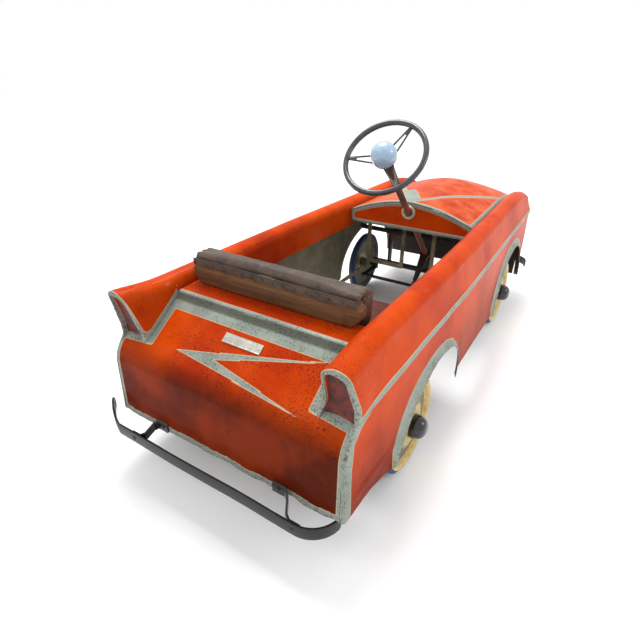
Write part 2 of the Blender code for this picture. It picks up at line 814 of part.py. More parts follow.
def tyre_profile():
    half = TYRE_WIDTH / 2
    right = [(RIM, half - 0.0006), (WHEEL_RADIUS - 0.0060, half)]
    right += [(WHEEL_RADIUS - 0.0020, half - 0.0016), (WHEEL_RADIUS, half - 0.0050)]
    return right + [(radius, -height) for radius, height in reversed(right)]


def cap_profile():
    outside = [(0.0, 0.0350), (0.0090, 0.0338), (0.0160, 0.0290), (0.0200, 0.0215), (0.0210, 0.0125)]
    inside = [(0.0198, 0.0103), (0.0190, 0.0200), (0.0145, 0.0275), (0.0, 0.0330)]
    return outside + [(0.0210, 0.0103)] + inside


def wheel(where, side, word, y, track, parent):
    """Disc, tyre and hubcap, each turned round the wheel's axle."""
    name = where + "_" + word
    turn = Matrix.Rotation(side * math.radians(90), 4, "Y")
    place = Matrix.Translation((side * track, y, WHEEL_RADIUS)) @ turn
    pieces = (
        (turned("wheel_disc_" + name, disc_profile(), 32), CREAM),
        (turned("tyre_" + name, tyre_profile(), 40), RUBBER),
        (dome("hubcap_" + name, cap_profile(), 20), BLACK),
    )
    for piece, material in pieces:
        piece.matrix_world = place
        ride_on(register(smooth(piece), material), parent)


left_rear_axis = axis_empty("left_rear_wheel_axis", (REAR_TRACK_HALF, REAR_AXLE_Y, WHEEL_RADIUS))
wheel("rear", 1, "left", REAR_AXLE_Y, REAR_TRACK_HALF, left_rear_axis)
wheel("rear", -1, "right", REAR_AXLE_Y, REAR_TRACK_HALF, rear_axis)

# ---- Front axle, knuckles and tie rod -----------------------------------------------
KINGPIN_X = 0.160
KINGPIN_RADIUS = 0.004
BARREL_RADIUS = 0.009
BARREL_FOOT = WHEEL_RADIUS - 0.0100
BARREL_TOP = WHEEL_RADIUS + 0.0100
BEAM_FOOT = BARREL_TOP + GAP
BEAM_HEIGHT = 0.008
BEAM_TOP = BEAM_FOOT + BEAM_HEIGHT
BEAM_DEPTH = 0.020
ARM_LENGTH = 0.080
ARM_PLATE = 0.004
TIE_PIN_RADIUS = 0.003
TIE_STRIP = 0.004
TIE_FOOT = BARREL_FOOT + ARM_PLATE + GAP
TIE_TOP = TIE_FOOT + TIE_STRIP
TIE_Y = FRONT_AXLE_Y + ARM_LENGTH
HANGER_TOP_Z = 0.203
FRONT_HANGER_X = 0.115


def front_axle_beam():
    end = KINGPIN_X + 0.012
    low = (-end, FRONT_AXLE_Y - BEAM_DEPTH / 2, BEAM_FOOT)
    beam = box("front_axle_beam", low, (end, FRONT_AXLE_Y + BEAM_DEPTH / 2, BEAM_TOP))
    for side in (1, -1):
        foot = (side * KINGPIN_X, FRONT_AXLE_Y, BARREL_FOOT - 0.0015)
        head = (side * KINGPIN_X, FRONT_AXLE_Y, BEAM_TOP + 0.003)
        beam = joined(beam, cylinder("kingpin", foot, head, KINGPIN_RADIUS, 20))
    return register(beam, DARK)


front_axle_beam()


def front_frame():
    """A cross bar between the sides, with two hangers down to the beam."""
    half = half_width(FRONT_AXLE_Y) - 0.0026 - SHEET - GAP
    depth = 0.008
    low = (-half, FRONT_AXLE_Y - depth, HANGER_TOP_Z - 0.008)
    frame = box("front_frame", low, (half, FRONT_AXLE_Y + depth, HANGER_TOP_Z))
    for side in (1, -1):
        middle = side * FRONT_HANGER_X
        foot = (middle - 0.003, FRONT_AXLE_Y - depth, BEAM_TOP + GAP)
        head = (middle + 0.003, FRONT_AXLE_Y + depth, HANGER_TOP_Z - 0.001)
        frame = joined(frame, box("hanger", foot, head))
    return register(frame, DARK)


front_frame()


def knuckle(side, word):
    """A barrel on the kingpin, with the stub axle and the steering arm."""
    pivot = Vector((side * KINGPIN_X, FRONT_AXLE_Y, 0))
    axis = axis_empty("kingpin_axis_" + word, (pivot.x, pivot.y, WHEEL_RADIUS))
    low = Vector((pivot.x, pivot.y, BARREL_FOOT))
    high = Vector((pivot.x, pivot.y, BARREL_TOP))
    barrel = cylinder("steering_knuckle_" + word, low, high, BARREL_RADIUS)
    stub_end = side * (FRONT_TRACK_HALF + HUB_OUT + AXLE_PAST_HUB)
    stub_start = (pivot.x, pivot.y, WHEEL_RADIUS)
    stub = cylinder("stub", stub_start, (stub_end, pivot.y, WHEEL_RADIUS), AXLE_RADIUS)
    outline = arc((0, 0), 0.008, 180, 360, 8) + arc((0, ARM_LENGTH), 0.006, 0, 180, 8)
    arm = plate("arm", outline, ARM_PLATE)
    stand(arm, Matrix.Translation((pivot.x, pivot.y, BARREL_FOOT + ARM_PLATE / 2)))
    pin_foot = (pivot.x, TIE_Y, BARREL_FOOT + 0.001)
    pin = cylinder("pin", pin_foot, (pivot.x, TIE_Y, TIE_TOP + 0.003), TIE_PIN_RADIUS, 16)
    solid = joined(barrel, stub, arm, pin)
    past = Vector((0, 0, 0.01))
    bore = cylinder("bore", low - past, high + past, KINGPIN_RADIUS + BORE_CLEARANCE, 20)
    solid = combine(solid, bore, "DIFFERENCE")
    ride_on(register(smooth(solid), STEEL), axis)
    hub = (side * FRONT_TRACK_HALF, FRONT_AXLE_Y, WHEEL_RADIUS)
    spin = axis_empty("front_wheel_axis_" + word, hub, axis)
    wheel("front", side, word, FRONT_AXLE_Y, FRONT_TRACK_HALF, spin)
    return axis


knuckle_axes = mirrored_pair(knuckle)

EAR_GAP_HALF = 0.0045
EAR_PLATE = 0.003
EAR_HEIGHT = 0.010


def tie_rod():
    """A flat strip between the steering arms, with two ears for the column's arm."""
    outline = arc((-KINGPIN_X, 0), 0.006, 90, 270, 8) + arc((KINGPIN_X, 0), 0.006, -90, 90, 8)
    hole = TIE_PIN_RADIUS + BORE_CLEARANCE
    holes = [circle((KINGPIN_X, 0), hole, 20), circle((-KINGPIN_X, 0), hole, 20)]
    rod = plate("tie_rod", outline, TIE_STRIP, holes)
    stand(rod, Matrix.Translation((0, TIE_Y, TIE_FOOT + TIE_STRIP / 2)))
    for side in (1, -1):
        inner = side * EAR_GAP_HALF
        outer = side * (EAR_GAP_HALF + EAR_PLATE)
        low = (min(inner, outer), TIE_Y - 0.006, TIE_TOP - 0.001)
        rod = joined(rod, box("ear", low, (max(inner, outer), TIE_Y + 0.006, TIE_TOP + EAR_HEIGHT)))
    axis = axis_empty("tie_rod_axis", (KINGPIN_X, TIE_Y, TIE_FOOT), knuckle_axes[0])
    return ride_on(register(rod, DARK), axis)


tie_rod()

# ---- Steering column and wheel ------------------------------------------------------
COLUMN_UP = -COLUMN_DOWN
WHEEL_CENTRE = BOSS + COLUMN_UP * STEERING_WHEEL_REACH
SWING_TIP_Z = TIE_TOP + 0.0170  # the end of the column's arm, above the tie rod
COLUMN_PAST_BEARING = 0.016
BEARING_LENGTH = 0.014
BEARING_RADIUS = 0.0125
BALL_RADIUS = 0.0265
BALL_RAISE = 0.006
BALL_CUT = 0.004  # the ball is cut flat this far below the rim's plane
SPOKE_RADIUS = 0.0019
SPOKE_ANGLES = (8, 128, 248)
HUB_PLATE = 0.006
SPOKE_SPREAD = 0.0110  # half the distance between a spoke's two wires at the hub

steering_axis = axis_empty("steering_axis", BOSS)


def along(distance):
    return BOSS + COLUMN_DOWN * distance


BEARING_S = (BOSS.y - FRONT_AXLE_Y) / math.sin(COLUMN_TILT)


def arm_seat():
    """How far down the column its arm sits, and the arm's length, so its tip meets the tie rod."""
    across = TIE_Y - BOSS.y
    drop = BOSS.z - SWING_TIP_Z
    sine, cosine = math.sin(COLUMN_TILT), math.cos(COLUMN_TILT)
    return drop * cosine - across * sine, drop * sine + across * cosine


ARM_S, SWING_LENGTH = arm_seat()


def steering_column():
    end = along(BEARING_S + COLUMN_PAST_BEARING)
    top = WHEEL_CENTRE - COLUMN_UP * (BALL_CUT + HUB_PLATE + 2 * GAP)
    return register(smooth(cylinder("steering_column", end, top, COLUMN_RADIUS)), STEEL)


ride_on(steering_column(), steering_axis)


def across_column(centre):
    """A frame whose Z runs up the column and whose Y points back and down."""
    frame = Matrix.Identity(4)
    columns = (Vector((1, 0, 0)), COLUMN_PERP, COLUMN_UP, centre)
    for index, column in enumerate(columns):
        for row in range(3):
            frame[row][index] = column[row]
    return frame


def drop_arm():
    """The arm that the column swings, with a pin between the tie rod's ears."""
    outline = arc((0, 0), 0.0125, 180, 360, 10) + arc((0, SWING_LENGTH), 0.0055, 0, 180, 8)
    hole = circle((0, 0), COLUMN_RADIUS + GAP)
    arm = stand(plate("column_arm", outline, 0.004, [hole]), across_column(along(ARM_S)))
    tip = along(ARM_S) + COLUMN_PERP * SWING_LENGTH
    foot = Vector((tip.x, tip.y, TIE_TOP + 0.0025))
    arm = joined(arm, cylinder("pin", tip, foot, 0.0030, 16))
    return ride_on(register(arm, STEEL), steering_axis)


drop_arm()


def column_bearing():
    """A sleeve round the column's foot, on a post that stands on the axle beam."""
    middle = along(BEARING_S)
    low = (-0.009, FRONT_AXLE_Y - 0.005, BEAM_TOP + GAP)
    post = box("column_bearing", low, (0.009, FRONT_AXLE_Y + 0.005, middle.z))
    reach = COLUMN_UP * (BEARING_LENGTH / 2)
    sleeve = cylinder("sleeve", middle - reach, middle + reach, BEARING_RADIUS)
    post = joined(post, sleeve)
    bore = cylinder("bore", middle - 4 * reach, middle + 4 * reach, COLUMN_RADIUS + BORE_CLEARANCE)
    return register(combine(post, bore, "DIFFERENCE"), DARK)


column_bearing()


def dash_boss():
    """A rounded ring on the dash, bored along the column."""
    profile = [(0.0060, 0.0), (0.0170, 0.0), (0.0165, 0.0030), (0.0135, 0.0050), (0.0060, 0.0050)]
    ring = turned("dash_boss", profile, 32)
    place = Matrix.Translation((0, DASH_Y - 0.001 + GAP, BOSS_Z))
    ring = stand(baked(ring), place @ Matrix.Rotation(math.radians(-90), 4, "X"))
    bore = cylinder("bore", along(-0.04), along(0.04), COLUMN_RADIUS + 0.0010, 32)
    return register(smooth(combine(ring, bore, "DIFFERENCE")), PLATE)


dash_boss()


def steering_rim():
    bpy.ops.mesh.primitive_torus_add(
        major_radius=RIM_RADIUS, minor_radius=RIM_SECTION, major_segments=48, minor_segments=8
    )
    rim = bpy.context.object
    rim.name = "steering_rim"
    rim.data.transform(across_column(WHEEL_CENTRE))
    return ride_on(register(smooth(rim, 60), GREY), steering_axis)


steering_rim()


def spokes():
    """Three pairs of wires from a hub plate to the rim, each pair meeting at the rim."""
    hub_top = -BALL_CUT - GAP
    hub = cylinder("steering_spokes", (0, 0, hub_top - HUB_PLATE), (0, 0, hub_top), 0.0165, 24)
    wire_z = hub_top - SPOKE_RADIUS - 0.0021
    for angle in SPOKE_ANGLES:
        turn = Matrix.Rotation(math.radians(angle), 4, "Z")
        for side in (1, -1):
            start = turn @ Vector((0.0100, side * SPOKE_SPREAD, wire_z))
            end = turn @ Vector((RIM_RADIUS - RIM_SECTION - 0.0006, side * 0.0014, -0.0010))
            hub = joined(hub, cylinder("wire", start, end, SPOKE_RADIUS, 8))
    stand(hub, across_column(WHEEL_CENTRE))
    return ride_on(register(smooth(hub), STEEL), steering_axis)


spokes()


def hub_ball():
    bm = bmesh.new()
    bmesh.ops.create_uvsphere(bm, u_segments=24, v_segments=14, radius=BALL_RADIUS)
    bmesh.ops.translate(bm, vec=(0, 0, BALL_RAISE), verts=bm.verts)
    faces = bm.verts[:] + bm.edges[:] + bm.faces[:]
    cut = bmesh.ops.bisect_plane(
        bm, geom=faces, plane_co=(0, 0, -BALL_CUT), plane_no=(0, 0, -1), clear_outer=True
    )
    rim = [edge for edge in cut["geom_cut"] if isinstance(edge, bmesh.types.BMEdge)]
    bmesh.ops.contextual_create(bm, geom=rim)
    bmesh.ops.recalc_face_normals(bm, faces=bm.faces)
    ball = mesh_object("steering_hub_ball", bm)
    stand(ball, across_column(WHEEL_CENTRE))
    return ride_on(register(smooth(ball), BLUE), steering_axis)


hub_ball()

# ---- Pedals and push rods -----------------------------------------------------------
PIVOT_RADIUS = 0.004
STIRRUP_WIDTH = 0.010
STIRRUP_PLATE = 0.004
PEDAL_INNER_X = 0.042
PEDAL_OUTER_X = 0.142
FOOT_BAR_Z = 0.136
ROD_PIN_RADIUS = 0.003


def pedal_pivot_rod():
    half = half_width(PEDAL_PIVOT_Y) - 0.0040 - SHEET - GAP
    start = (-half, PEDAL_PIVOT_Y, PEDAL_PIVOT_Z)
    rod = cylinder("pedal_pivot_rod", start, (half, PEDAL_PIVOT_Y, PEDAL_PIVOT_Z), PIVOT_RADIUS, 20)
    return register(smooth(rod), STEEL)


pedal_pivot_rod()
EYE_Z = PEDAL_PIVOT_Z - PEDAL_DROP


def pedal(side, word):
    """A stirrup: two flat arms that hang from the pivot, and a bar for the foot."""
    axis = axis_empty("pedal_axis_" + word, (side * ROD_X, PEDAL_PIVOT_Y, PEDAL_PIVOT_Z))
    half_t = STIRRUP_PLATE / 2

    def slab(label, x0, x1, z0, z1):
        low = (min(side * x0, side * x1), PEDAL_PIVOT_Y - half_t, z0)
        return box(label, low, (max(side * x0, side * x1), PEDAL_PIVOT_Y + half_t, z1))

    half_w = STIRRUP_WIDTH / 2
    outer_name = "pedal_" + word
    outer_foot = EYE_Z - 0.006
    outer = slab(outer_name, PEDAL_OUTER_X - half_w, PEDAL_OUTER_X + half_w, outer_foot, PEDAL_PIVOT_Z)
    inner_foot = FOOT_BAR_Z - 0.005
    inner = slab("inner", PEDAL_INNER_X - half_w, PEDAL_INNER_X + half_w, inner_foot, PEDAL_PIVOT_Z)
    foot = slab("foot", PEDAL_INNER_X, PEDAL_OUTER_X, FOOT_BAR_Z - 0.006, FOOT_BAR_Z + 0.006)
    pieces = [inner, foot]
    for x in (PEDAL_INNER_X, PEDAL_OUTER_X):
        start = (side * (x - half_w - 0.001), PEDAL_PIVOT_Y, PEDAL_PIVOT_Z)
        end = (side * (x + half_w + 0.001), PEDAL_PIVOT_Y, PEDAL_PIVOT_Z)
        pieces.append(cylinder("sleeve", start, end, 0.0075, 20))
    pin_start = (side * PEDAL_OUTER_X, PEDAL_PIVOT_Y, EYE_Z)
    pin_end = (side * (ROD_X + ROD_STRAP / 2 + 0.002), PEDAL_PIVOT_Y, EYE_Z)
    pieces.append(cylinder("pin", pin_start, pin_end, ROD_PIN_RADIUS, 16))
    solid = joined(outer, *pieces)
    bore_start = (side * 0.02, PEDAL_PIVOT_Y, PEDAL_PIVOT_Z)
    bore_end = (side * 0.17, PEDAL_PIVOT_Y, PEDAL_PIVOT_Z)
    bore = cylinder("bore", bore_start, bore_end, PIVOT_RADIUS + BORE_CLEARANCE, 20)
    ride_on(register(combine(solid, bore, "DIFFERENCE"), STEEL), axis)
    return axis


pedal_axes = mirrored_pair(pedal)


def push_rod(side, word):
    """A flat strap from the pedal's pin to the crank's pin, with an eye at each end."""
    run = REAR_AXLE_Y - PEDAL_PIVOT_Y
    fall = EYE_Z - (WHEEL_RADIUS + side * CRANK_THROW)
    slope = math.degrees(math.atan2(-fall, run))
    front_eye = arc((0, 0), 0.0060, slope + 60, slope + 300, 10)
    rear_eye = arc((run, -fall), 0.0065, slope - 120, slope + 120, 10)
    holes = [circle((0, 0), ROD_PIN_RADIUS + BORE_CLEARANCE, 16)]
    holes.append(circle((run, -fall), CRANK_PIN_RADIUS + BORE_CLEARANCE, 16))
    rod = plate("push_rod_" + word, front_eye + rear_eye, ROD_STRAP, holes)
    stand(rod, Matrix.Translation((side * ROD_X, PEDAL_PIVOT_Y, EYE_Z)) @ SIDEWAYS)
    parent = pedal_axes[0] if side > 0 else pedal_axes[1]
    axis = axis_empty("push_rod_axis_" + word, (side * ROD_X, PEDAL_PIVOT_Y, EYE_Z), parent)
    return ride_on(register(rod, STEEL), axis)


mirrored_pair(push_rod)
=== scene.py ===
# %% [markdown]
# # Finishing a child's pedal car
#
# The solid model already holds every size, joint and bearing of the car. Here each visible
# piece gets its final shape and finish: pressed sheet with rolled edges, aged two-colour
# enamel, worn leather, wood, rubber and bare steel. The solid model is loaded first and
# never moved, and each new piece then rides on the moving body that it belongs to.

import math

import bpy
import numpy as np
from mathutils import Matrix, Vector, noise


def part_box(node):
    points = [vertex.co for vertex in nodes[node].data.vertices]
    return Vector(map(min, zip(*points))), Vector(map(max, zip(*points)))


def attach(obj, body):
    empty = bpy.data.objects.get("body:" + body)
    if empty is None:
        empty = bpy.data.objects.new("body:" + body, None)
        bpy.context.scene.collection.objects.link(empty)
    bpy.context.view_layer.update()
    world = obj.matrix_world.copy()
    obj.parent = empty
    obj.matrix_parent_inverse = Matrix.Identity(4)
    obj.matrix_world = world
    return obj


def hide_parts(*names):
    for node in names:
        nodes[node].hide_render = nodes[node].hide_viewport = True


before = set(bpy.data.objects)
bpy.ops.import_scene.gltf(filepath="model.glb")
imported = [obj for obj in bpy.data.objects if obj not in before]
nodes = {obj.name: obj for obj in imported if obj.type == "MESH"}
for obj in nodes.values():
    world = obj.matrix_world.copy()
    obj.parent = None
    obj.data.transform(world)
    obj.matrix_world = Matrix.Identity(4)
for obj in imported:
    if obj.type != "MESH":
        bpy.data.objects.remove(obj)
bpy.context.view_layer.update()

# %% [markdown]
# ## Sizes taken from the solids
#
# The panels are rebuilt around the same places as their solids. Reading those places from
# the solids' boxes keeps both models together when a driving size changes. Left is +X, the
# nose points to -Y, and every function below builds a left piece that a sign turns right.

# %% Read the places of the main pieces
side_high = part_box("body_side_left")[1]
hood_low, hood_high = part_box("hood")
dash_low, dash_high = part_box("dashboard")
pad_low, pad_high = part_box("backrest_pad")
seat_low, seat_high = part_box("seat_board")

WALL = 0.0016
RAIL_TOP = side_high.z
RAIL_RADIUS = 0.022
RAIL_INSET = 0.0145
WAIST = side_high.x - 0.0015
NOSE_HALF = 0.205
TAPER_START = 0.100
NOSE_TOP_Y = -0.562
BEAD_Z = 0.2445
DROOP_START = -0.38
DROOP = 0.030
DASH_Y = hood_high.y
LEFT_RIGHT = ((1, "left"), (-1, "right"))
print(f"waist {WAIST:.4f} m, rail top {RAIL_TOP:.4f} m, dash at y {DASH_Y:.4f} m")

# %% [markdown]
# ## Small tools for modelling
#
# Blender's operators act on whatever is selected, so each tool first clears the selection.
# A finished piece keeps its place in its mesh, with its object at the origin, so that a
# pattern in object coordinates stays where it was painted.

# %% Selection, naming and modifiers
def start_piece():
    if bpy.context.mode != "OBJECT":
        bpy.ops.object.mode_set(mode="OBJECT")
    bpy.ops.object.select_all(action="DESELECT")


def pick(obj):
    start_piece()
    obj.select_set(True)
    bpy.context.view_layer.objects.active = obj
    return obj


def named(name):
    """The primitive that was just added, with its name."""
    obj = bpy.context.object
    obj.name = name
    obj.data.name = name
    return obj


def settle(obj):
    """Moves the object's place, turn and scale into its mesh."""
    pick(obj)
    bpy.ops.object.transform_apply(location=True, rotation=True, scale=True)
    return obj


def modify(obj, kind, **settings):
    """Adds one modifier and applies it."""
    pick(obj)
    modifier = obj.modifiers.new(kind.lower(), kind)
    for key, value in settings.items():
        setattr(modifier, key, value)
    bpy.ops.object.modifier_apply(modifier=modifier.name)
    return obj


def smooth(obj, degrees=35):
    pick(obj)
    bpy.ops.object.shade_smooth_by_angle(angle=math.radians(degrees))
    return obj


def cut(obj, cutter):
    """Cuts one solid from another and drops the cutter."""
    modify(obj, "BOOLEAN", operation="DIFFERENCE", solver="MANIFOLD", object=cutter)
    bpy.data.objects.remove(cutter, do_unlink=True)
    return obj


def place_points(obj, function):
    """Moves each point to where the function sends it."""
    for vertex in obj.data.vertices:
        vertex.co = function(vertex.co)
    obj.data.update()
    return obj


def points_of(obj):
    flat = np.empty(len(obj.data.vertices) * 3, np.float64)
    obj.data.vertices.foreach_get("co", flat)
    return flat.reshape(-1, 3)


def write_attributes(obj, **columns):
    """Stores a number for each point under each name, for the finishes to read."""
    for name, values in columns.items():
        values = np.broadcast_to(values, len(obj.data.vertices)).astype(np.float32)
        obj.data.attributes.new(name, "FLOAT", "POINT").data.foreach_set("value", values)


def finish_piece(obj, material, body, *replaced, slot=None):
    """Gives a piece its finish, its moving body and the solid nodes that it stands for."""
    if material is not None:
        obj.data.materials.clear()
        obj.data.materials.append(material)
    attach(obj, body)
    if replaced:
        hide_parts(*replaced)
    return obj


# %% Curves through points, and distances to them
def smooth_path(points, count, closed=False):
    """Evenly spaced points on a smooth curve through the given ones."""
    points = np.array(points, float)
    if closed:
        points = np.vstack([points, points[:1]])
        before, after = points[-2:-1], points[1:2]
    else:
        before, after = 2 * points[:1] - points[1:2], 2 * points[-1:] - points[-2:-1]
    padded = np.vstack([before, points, after])
    t = np.linspace(0, 1, 12, endpoint=False)[:, None]
    found = []
    for p0, p1, p2, p3 in zip(padded, padded[1:], padded[2:], padded[3:]):
        bend = (2 * p0 - 5 * p1 + 4 * p2 - p3) * t**2 + (3 * p1 - p0 - 3 * p2 + p3) * t**3
        found.append(0.5 * (2 * p1 + (p2 - p0) * t + bend))
    found = np.vstack(found + [points[-1:]])
    return even_path(found, count)


def even_path(points, count):
    """The same broken line with its points spread evenly along it."""
    points = np.array(points, float)
    step = np.linalg.norm(np.diff(points, axis=0), axis=1)
    run = np.concatenate([[0], np.cumsum(step)])
    wanted = np.linspace(0, run[-1], count)
    return np.stack([np.interp(wanted, run, axis) for axis in points.T], axis=1)


def distance_to_path(points, path):
    """The shortest distance from each point to a broken line."""
    points = np.asarray(points, float)
    path = np.asarray(path, float)
    best = np.full(len(points), np.inf)
    for start, end in zip(path, path[1:]):
        along = end - start
        share = np.clip((points - start) @ along / (along @ along), 0, 1)
        gap = points - start - share[:, None] * along
        best = np.minimum(best, np.sqrt((gap**2).sum(axis=1)))
    return best


def inside_outline(points, outline):
    """True for the points inside a closed outline."""
    x, y = np.asarray(points, float).T
    inside = np.zeros(len(x), bool)
    for (x0, y0), (x1, y1) in zip(outline, list(outline[1:]) + [outline[0]]):
        crosses = (y0 > y) != (y1 > y)
        if y1 != y0:
            inside ^= crosses & (x < x0 + (y - y0) * (x1 - x0) / (y1 - y0))
    return inside


def signed_distance(points, outline):
    """Distance to a closed outline, negative inside it."""
    distance = distance_to_path(points, list(outline) + [outline[0]])
    return np.where(inside_outline(points, outline), -distance, distance)


def bump(distance, width):
    """1 in the middle of a ridge, 0 past its width."""
    share = np.clip(np.abs(distance) / width, 0, 1)
    return (1 - share**2) ** 2


def rise(value, low, high):
    share = np.clip((value - low) / (high - low), 0, 1)
    return share * share * (3 - 2 * share)


def ripple(place, scale, seed=0.0):
    """Smooth noise from -1 to 1, the same on every run."""
    return noise.noise(Vector((place[0] * scale + seed, place[1] * scale, place[2] * scale)))


# %% Sheets, turned pieces and bars
def sheet(name, across, along, shape):
    """A grid whose points are placed by shape(u, v), with u and v from 0 to 1."""
    start_piece()
    bpy.ops.mesh.primitive_grid_add(x_subdivisions=across, y_subdivisions=along, size=1)
    return place_points(named(name), lambda co: shape(co.x + 0.5, co.y + 0.5))


def turned(name, profile, steps, centre, axis=(1, 0, 0)):
    """A closed profile of (height, radius) points spun round an axis through the centre."""
    start_piece()
    bpy.ops.mesh.primitive_circle_add(vertices=len(profile), radius=0.01)
    obj = named(name)
    for vertex, (height, radius) in zip(obj.data.vertices, profile):
        vertex.co = (height, 0, radius)
    bpy.ops.object.mode_set(mode="EDIT")
    bpy.ops.mesh.select_all(action="SELECT")
    bpy.ops.mesh.spin(steps=steps, angle=math.tau, center=(0, 0, 0), axis=(1, 0, 0))
    bpy.ops.mesh.select_all(action="SELECT")
    bpy.ops.mesh.remove_doubles(threshold=0.00002)
    bpy.ops.mesh.normals_make_consistent(inside=False)
    bpy.ops.object.mode_set(mode="OBJECT")
    turn = Vector((1, 0, 0)).rotation_difference(Vector(axis)).to_matrix().to_4x4()
    obj.matrix_world = Matrix.Translation(centre) @ turn
    return smooth(settle(obj))


def block(name, low, high, bevel=0.0, segments=3):
    """A cube stretched between two corners, with its edges eased."""
    low, high = Vector(low), Vector(high)
    start_piece()
    bpy.ops.mesh.primitive_cube_add(size=1, location=(low + high) / 2)
    obj = named(name)
    obj.scale = high - low
    settle(obj)
    if bevel:
        modify(obj, "BEVEL", width=bevel, segments=segments, limit_method="NONE")
    return obj


def bar(name, points, radius, sides=10, count=None):
    """A round bar along a smooth path, closed at both ends."""
    path = smooth_path(points, count or 4 * len(points)) if count != 0 else np.array(points)
    start_piece()
    bpy.ops.mesh.primitive_cylinder_add(vertices=sides, radius=1, depth=1, end_fill_type="NGON")
    obj = named(name)
    follow_path(obj, [Vector(p) for p in path], radius)
    return smooth(obj, 50)


def follow_path(obj, path, radius):
    """Turns a cylinder into rings that follow the path."""
    bpy.ops.object.mode_set(mode="EDIT")
    bpy.ops.mesh.select_all(action="DESELECT")
    bpy.ops.object.mode_set(mode="OBJECT")
    for face in obj.data.polygons:
        face.select = face.normal.z > 0.9
    bpy.ops.object.mode_set(mode="EDIT")
    bpy.ops.mesh.select_mode(type="FACE")
    for _ in path[2:]:
        bpy.ops.mesh.extrude_region_move(TRANSFORM_OT_translate={"value": (0, 0, 1)})
    bpy.ops.mesh.select_mode(type="VERT")
    bpy.ops.object.mode_set(mode="OBJECT")
    across = None
    frames = []
    for index, point in enumerate(path):
        before, after = path[max(index - 1, 0)], path[min(index + 1, len(path) - 1)]
        tangent = (after - before).normalized()
        if across is None:
            across = tangent.orthogonal().normalized()
        across = (across - tangent * across.dot(tangent)).normalized()
        frames.append((point, across, tangent.cross(across)))
    for vertex in obj.data.vertices:
        ring = round(vertex.co.z + 0.5)
        point, first, second = frames[ring]
        vertex.co = point + (first * vertex.co.x + second * vertex.co.y) * radius
    obj.data.update()


def join(name, *pieces):
    """Joins pieces into one object, each keeping its own closed surface."""
    pick(pieces[0])
    for piece in pieces[1:]:
        piece.select_set(True)
    bpy.ops.object.join()
    return named(name)


def copy_of(obj, name):
    """A copy with its own mesh."""
    twin = obj.copy()
    twin.data = obj.data.copy()
    twin.name = name
    twin.data.name = name
    bpy.context.scene.collection.objects.link(twin)
    return twin


def mirrored(obj, name):
    """A copy on the car's other side, with its faces turned outwards again."""
    twin = copy_of(obj, name)
    for vertex in twin.data.vertices:
        vertex.co.x = -vertex.co.x
    twin.data.flip_normals()
    return twin


# %% [markdown]
# ## Finishes as arithmetic
#
# A finish is a graph of nodes, but most of it is plain arithmetic on masks. The Wire class
# wraps a socket and gives it Python's operators, so that 1 - mask adds a Math node. Every
# other node comes from Finish.node, which takes its type, its settings and its inputs.

# %% Wire and Finish
class Wire:
    """One output socket; each operator on it adds a Math node."""

    def __init__(self, finish, socket):
        self.finish = finish
        self.socket = socket

    def math(self, operation, *others):
        values = dict(enumerate((self, *others)))
        return self.finish.node("Math", {"operation": operation}, values)

    def __add__(self, other):
        return self.math("ADD", other)

    def __sub__(self, other):
        return self.math("SUBTRACT", other)

    def __rsub__(self, other):
        return self * -1 + other

    def __mul__(self, other):
        return self.math("MULTIPLY", other)

    def __truediv__(self, other):
        return self.math("DIVIDE", other)

    def __abs__(self):
        return self.math("ABSOLUTE")

    __radd__ = __add__
    __rmul__ = __mul__

    def least(self, other):
        return self.math("MINIMUM", other)

    def most(self, other):
        return self.math("MAXIMUM", other)

    def step(self, low, high):
        """0 below low, 1 above high, and a smooth rise between."""
        settings = {"interpolation_type": "SMOOTHSTEP"}
        values = {"Value": self, "From Min": low, "From Max": high}
        return self.finish.node("MapRange", settings, values)


class Finish:
    """A Principled material and the nodes that feed it."""

    def __init__(self, name, **constants):
        self.material = bpy.data.materials.new(name)
        self.material.use_nodes = True
        self.tree = self.material.node_tree
        self.shader = self.tree.nodes["Principled BSDF"]
        for key, value in constants.items():
            self.shader.inputs[key.replace("_", " ")].default_value = value
        self.place = self.node("TexCoord", output="Object")

    def node(self, kind, settings=None, inputs=None, output=0):
        made = self.tree.nodes.new("ShaderNode" + kind)
        for key, value in (settings or {}).items():
            setattr(made, key, value)
        for key, value in (inputs or {}).items():
            self.plug(made.inputs[key], value)
        return Wire(self, made.outputs[output])

    def plug(self, socket, value):
        if isinstance(value, Wire):
            self.tree.links.new(value.socket, socket)
        else:
            socket.default_value = value

    def feed(self, **sockets):
        for key, value in sockets.items():
            self.plug(self.shader.inputs[key.replace("_", " ")], value)
        return self.material

    def axis(self, letter):
        return self.node("SeparateXYZ", inputs={0: self.place}, output=letter)

    def attribute(self, name):
        return self.node("Attribute", {"attribute_name": name}, output="Fac")

    def stretched(self, factors):
        settings = {"operation": "MULTIPLY"}
        return self.node("VectorMath", settings, {0: self.place, 1: factors})

    def noise(self, scale, detail=3.0, roughness=0.5, stretch=None, distortion=0.0):
        place = self.stretched(stretch) if stretch else self.place
        values = {"Vector": place, "Scale": scale, "Detail": detail}
        values.update({"Roughness": roughness, "Distortion": distortion})
        return self.node("TexNoise", inputs=values)

    def mix(self, factor, first, second, blend="MIX"):
        settings = {"data_type": "RGBA", "blend_type": blend}
        return self.node("Mix", settings, {0: factor, 6: first, 7: second}, output=2)

    def bump(self, height, distance=0.001, strength=1.0):
        values = {"Height": height, "Distance": distance, "Strength": strength}
        return self.node("Bump", inputs=values, output="Normal")


def colour(red, green, blue):
    """A display colour of 0 to 255 as the linear values that a shader reads."""
    linear = []
    for value in (red, green, blue):
        share = value / 255
        linear.append(share / 12.92 if share <= 0.04045 else ((share + 0.055) / 1.055) ** 2.4)
    return (*linear, 1.0)


print("tools ready")

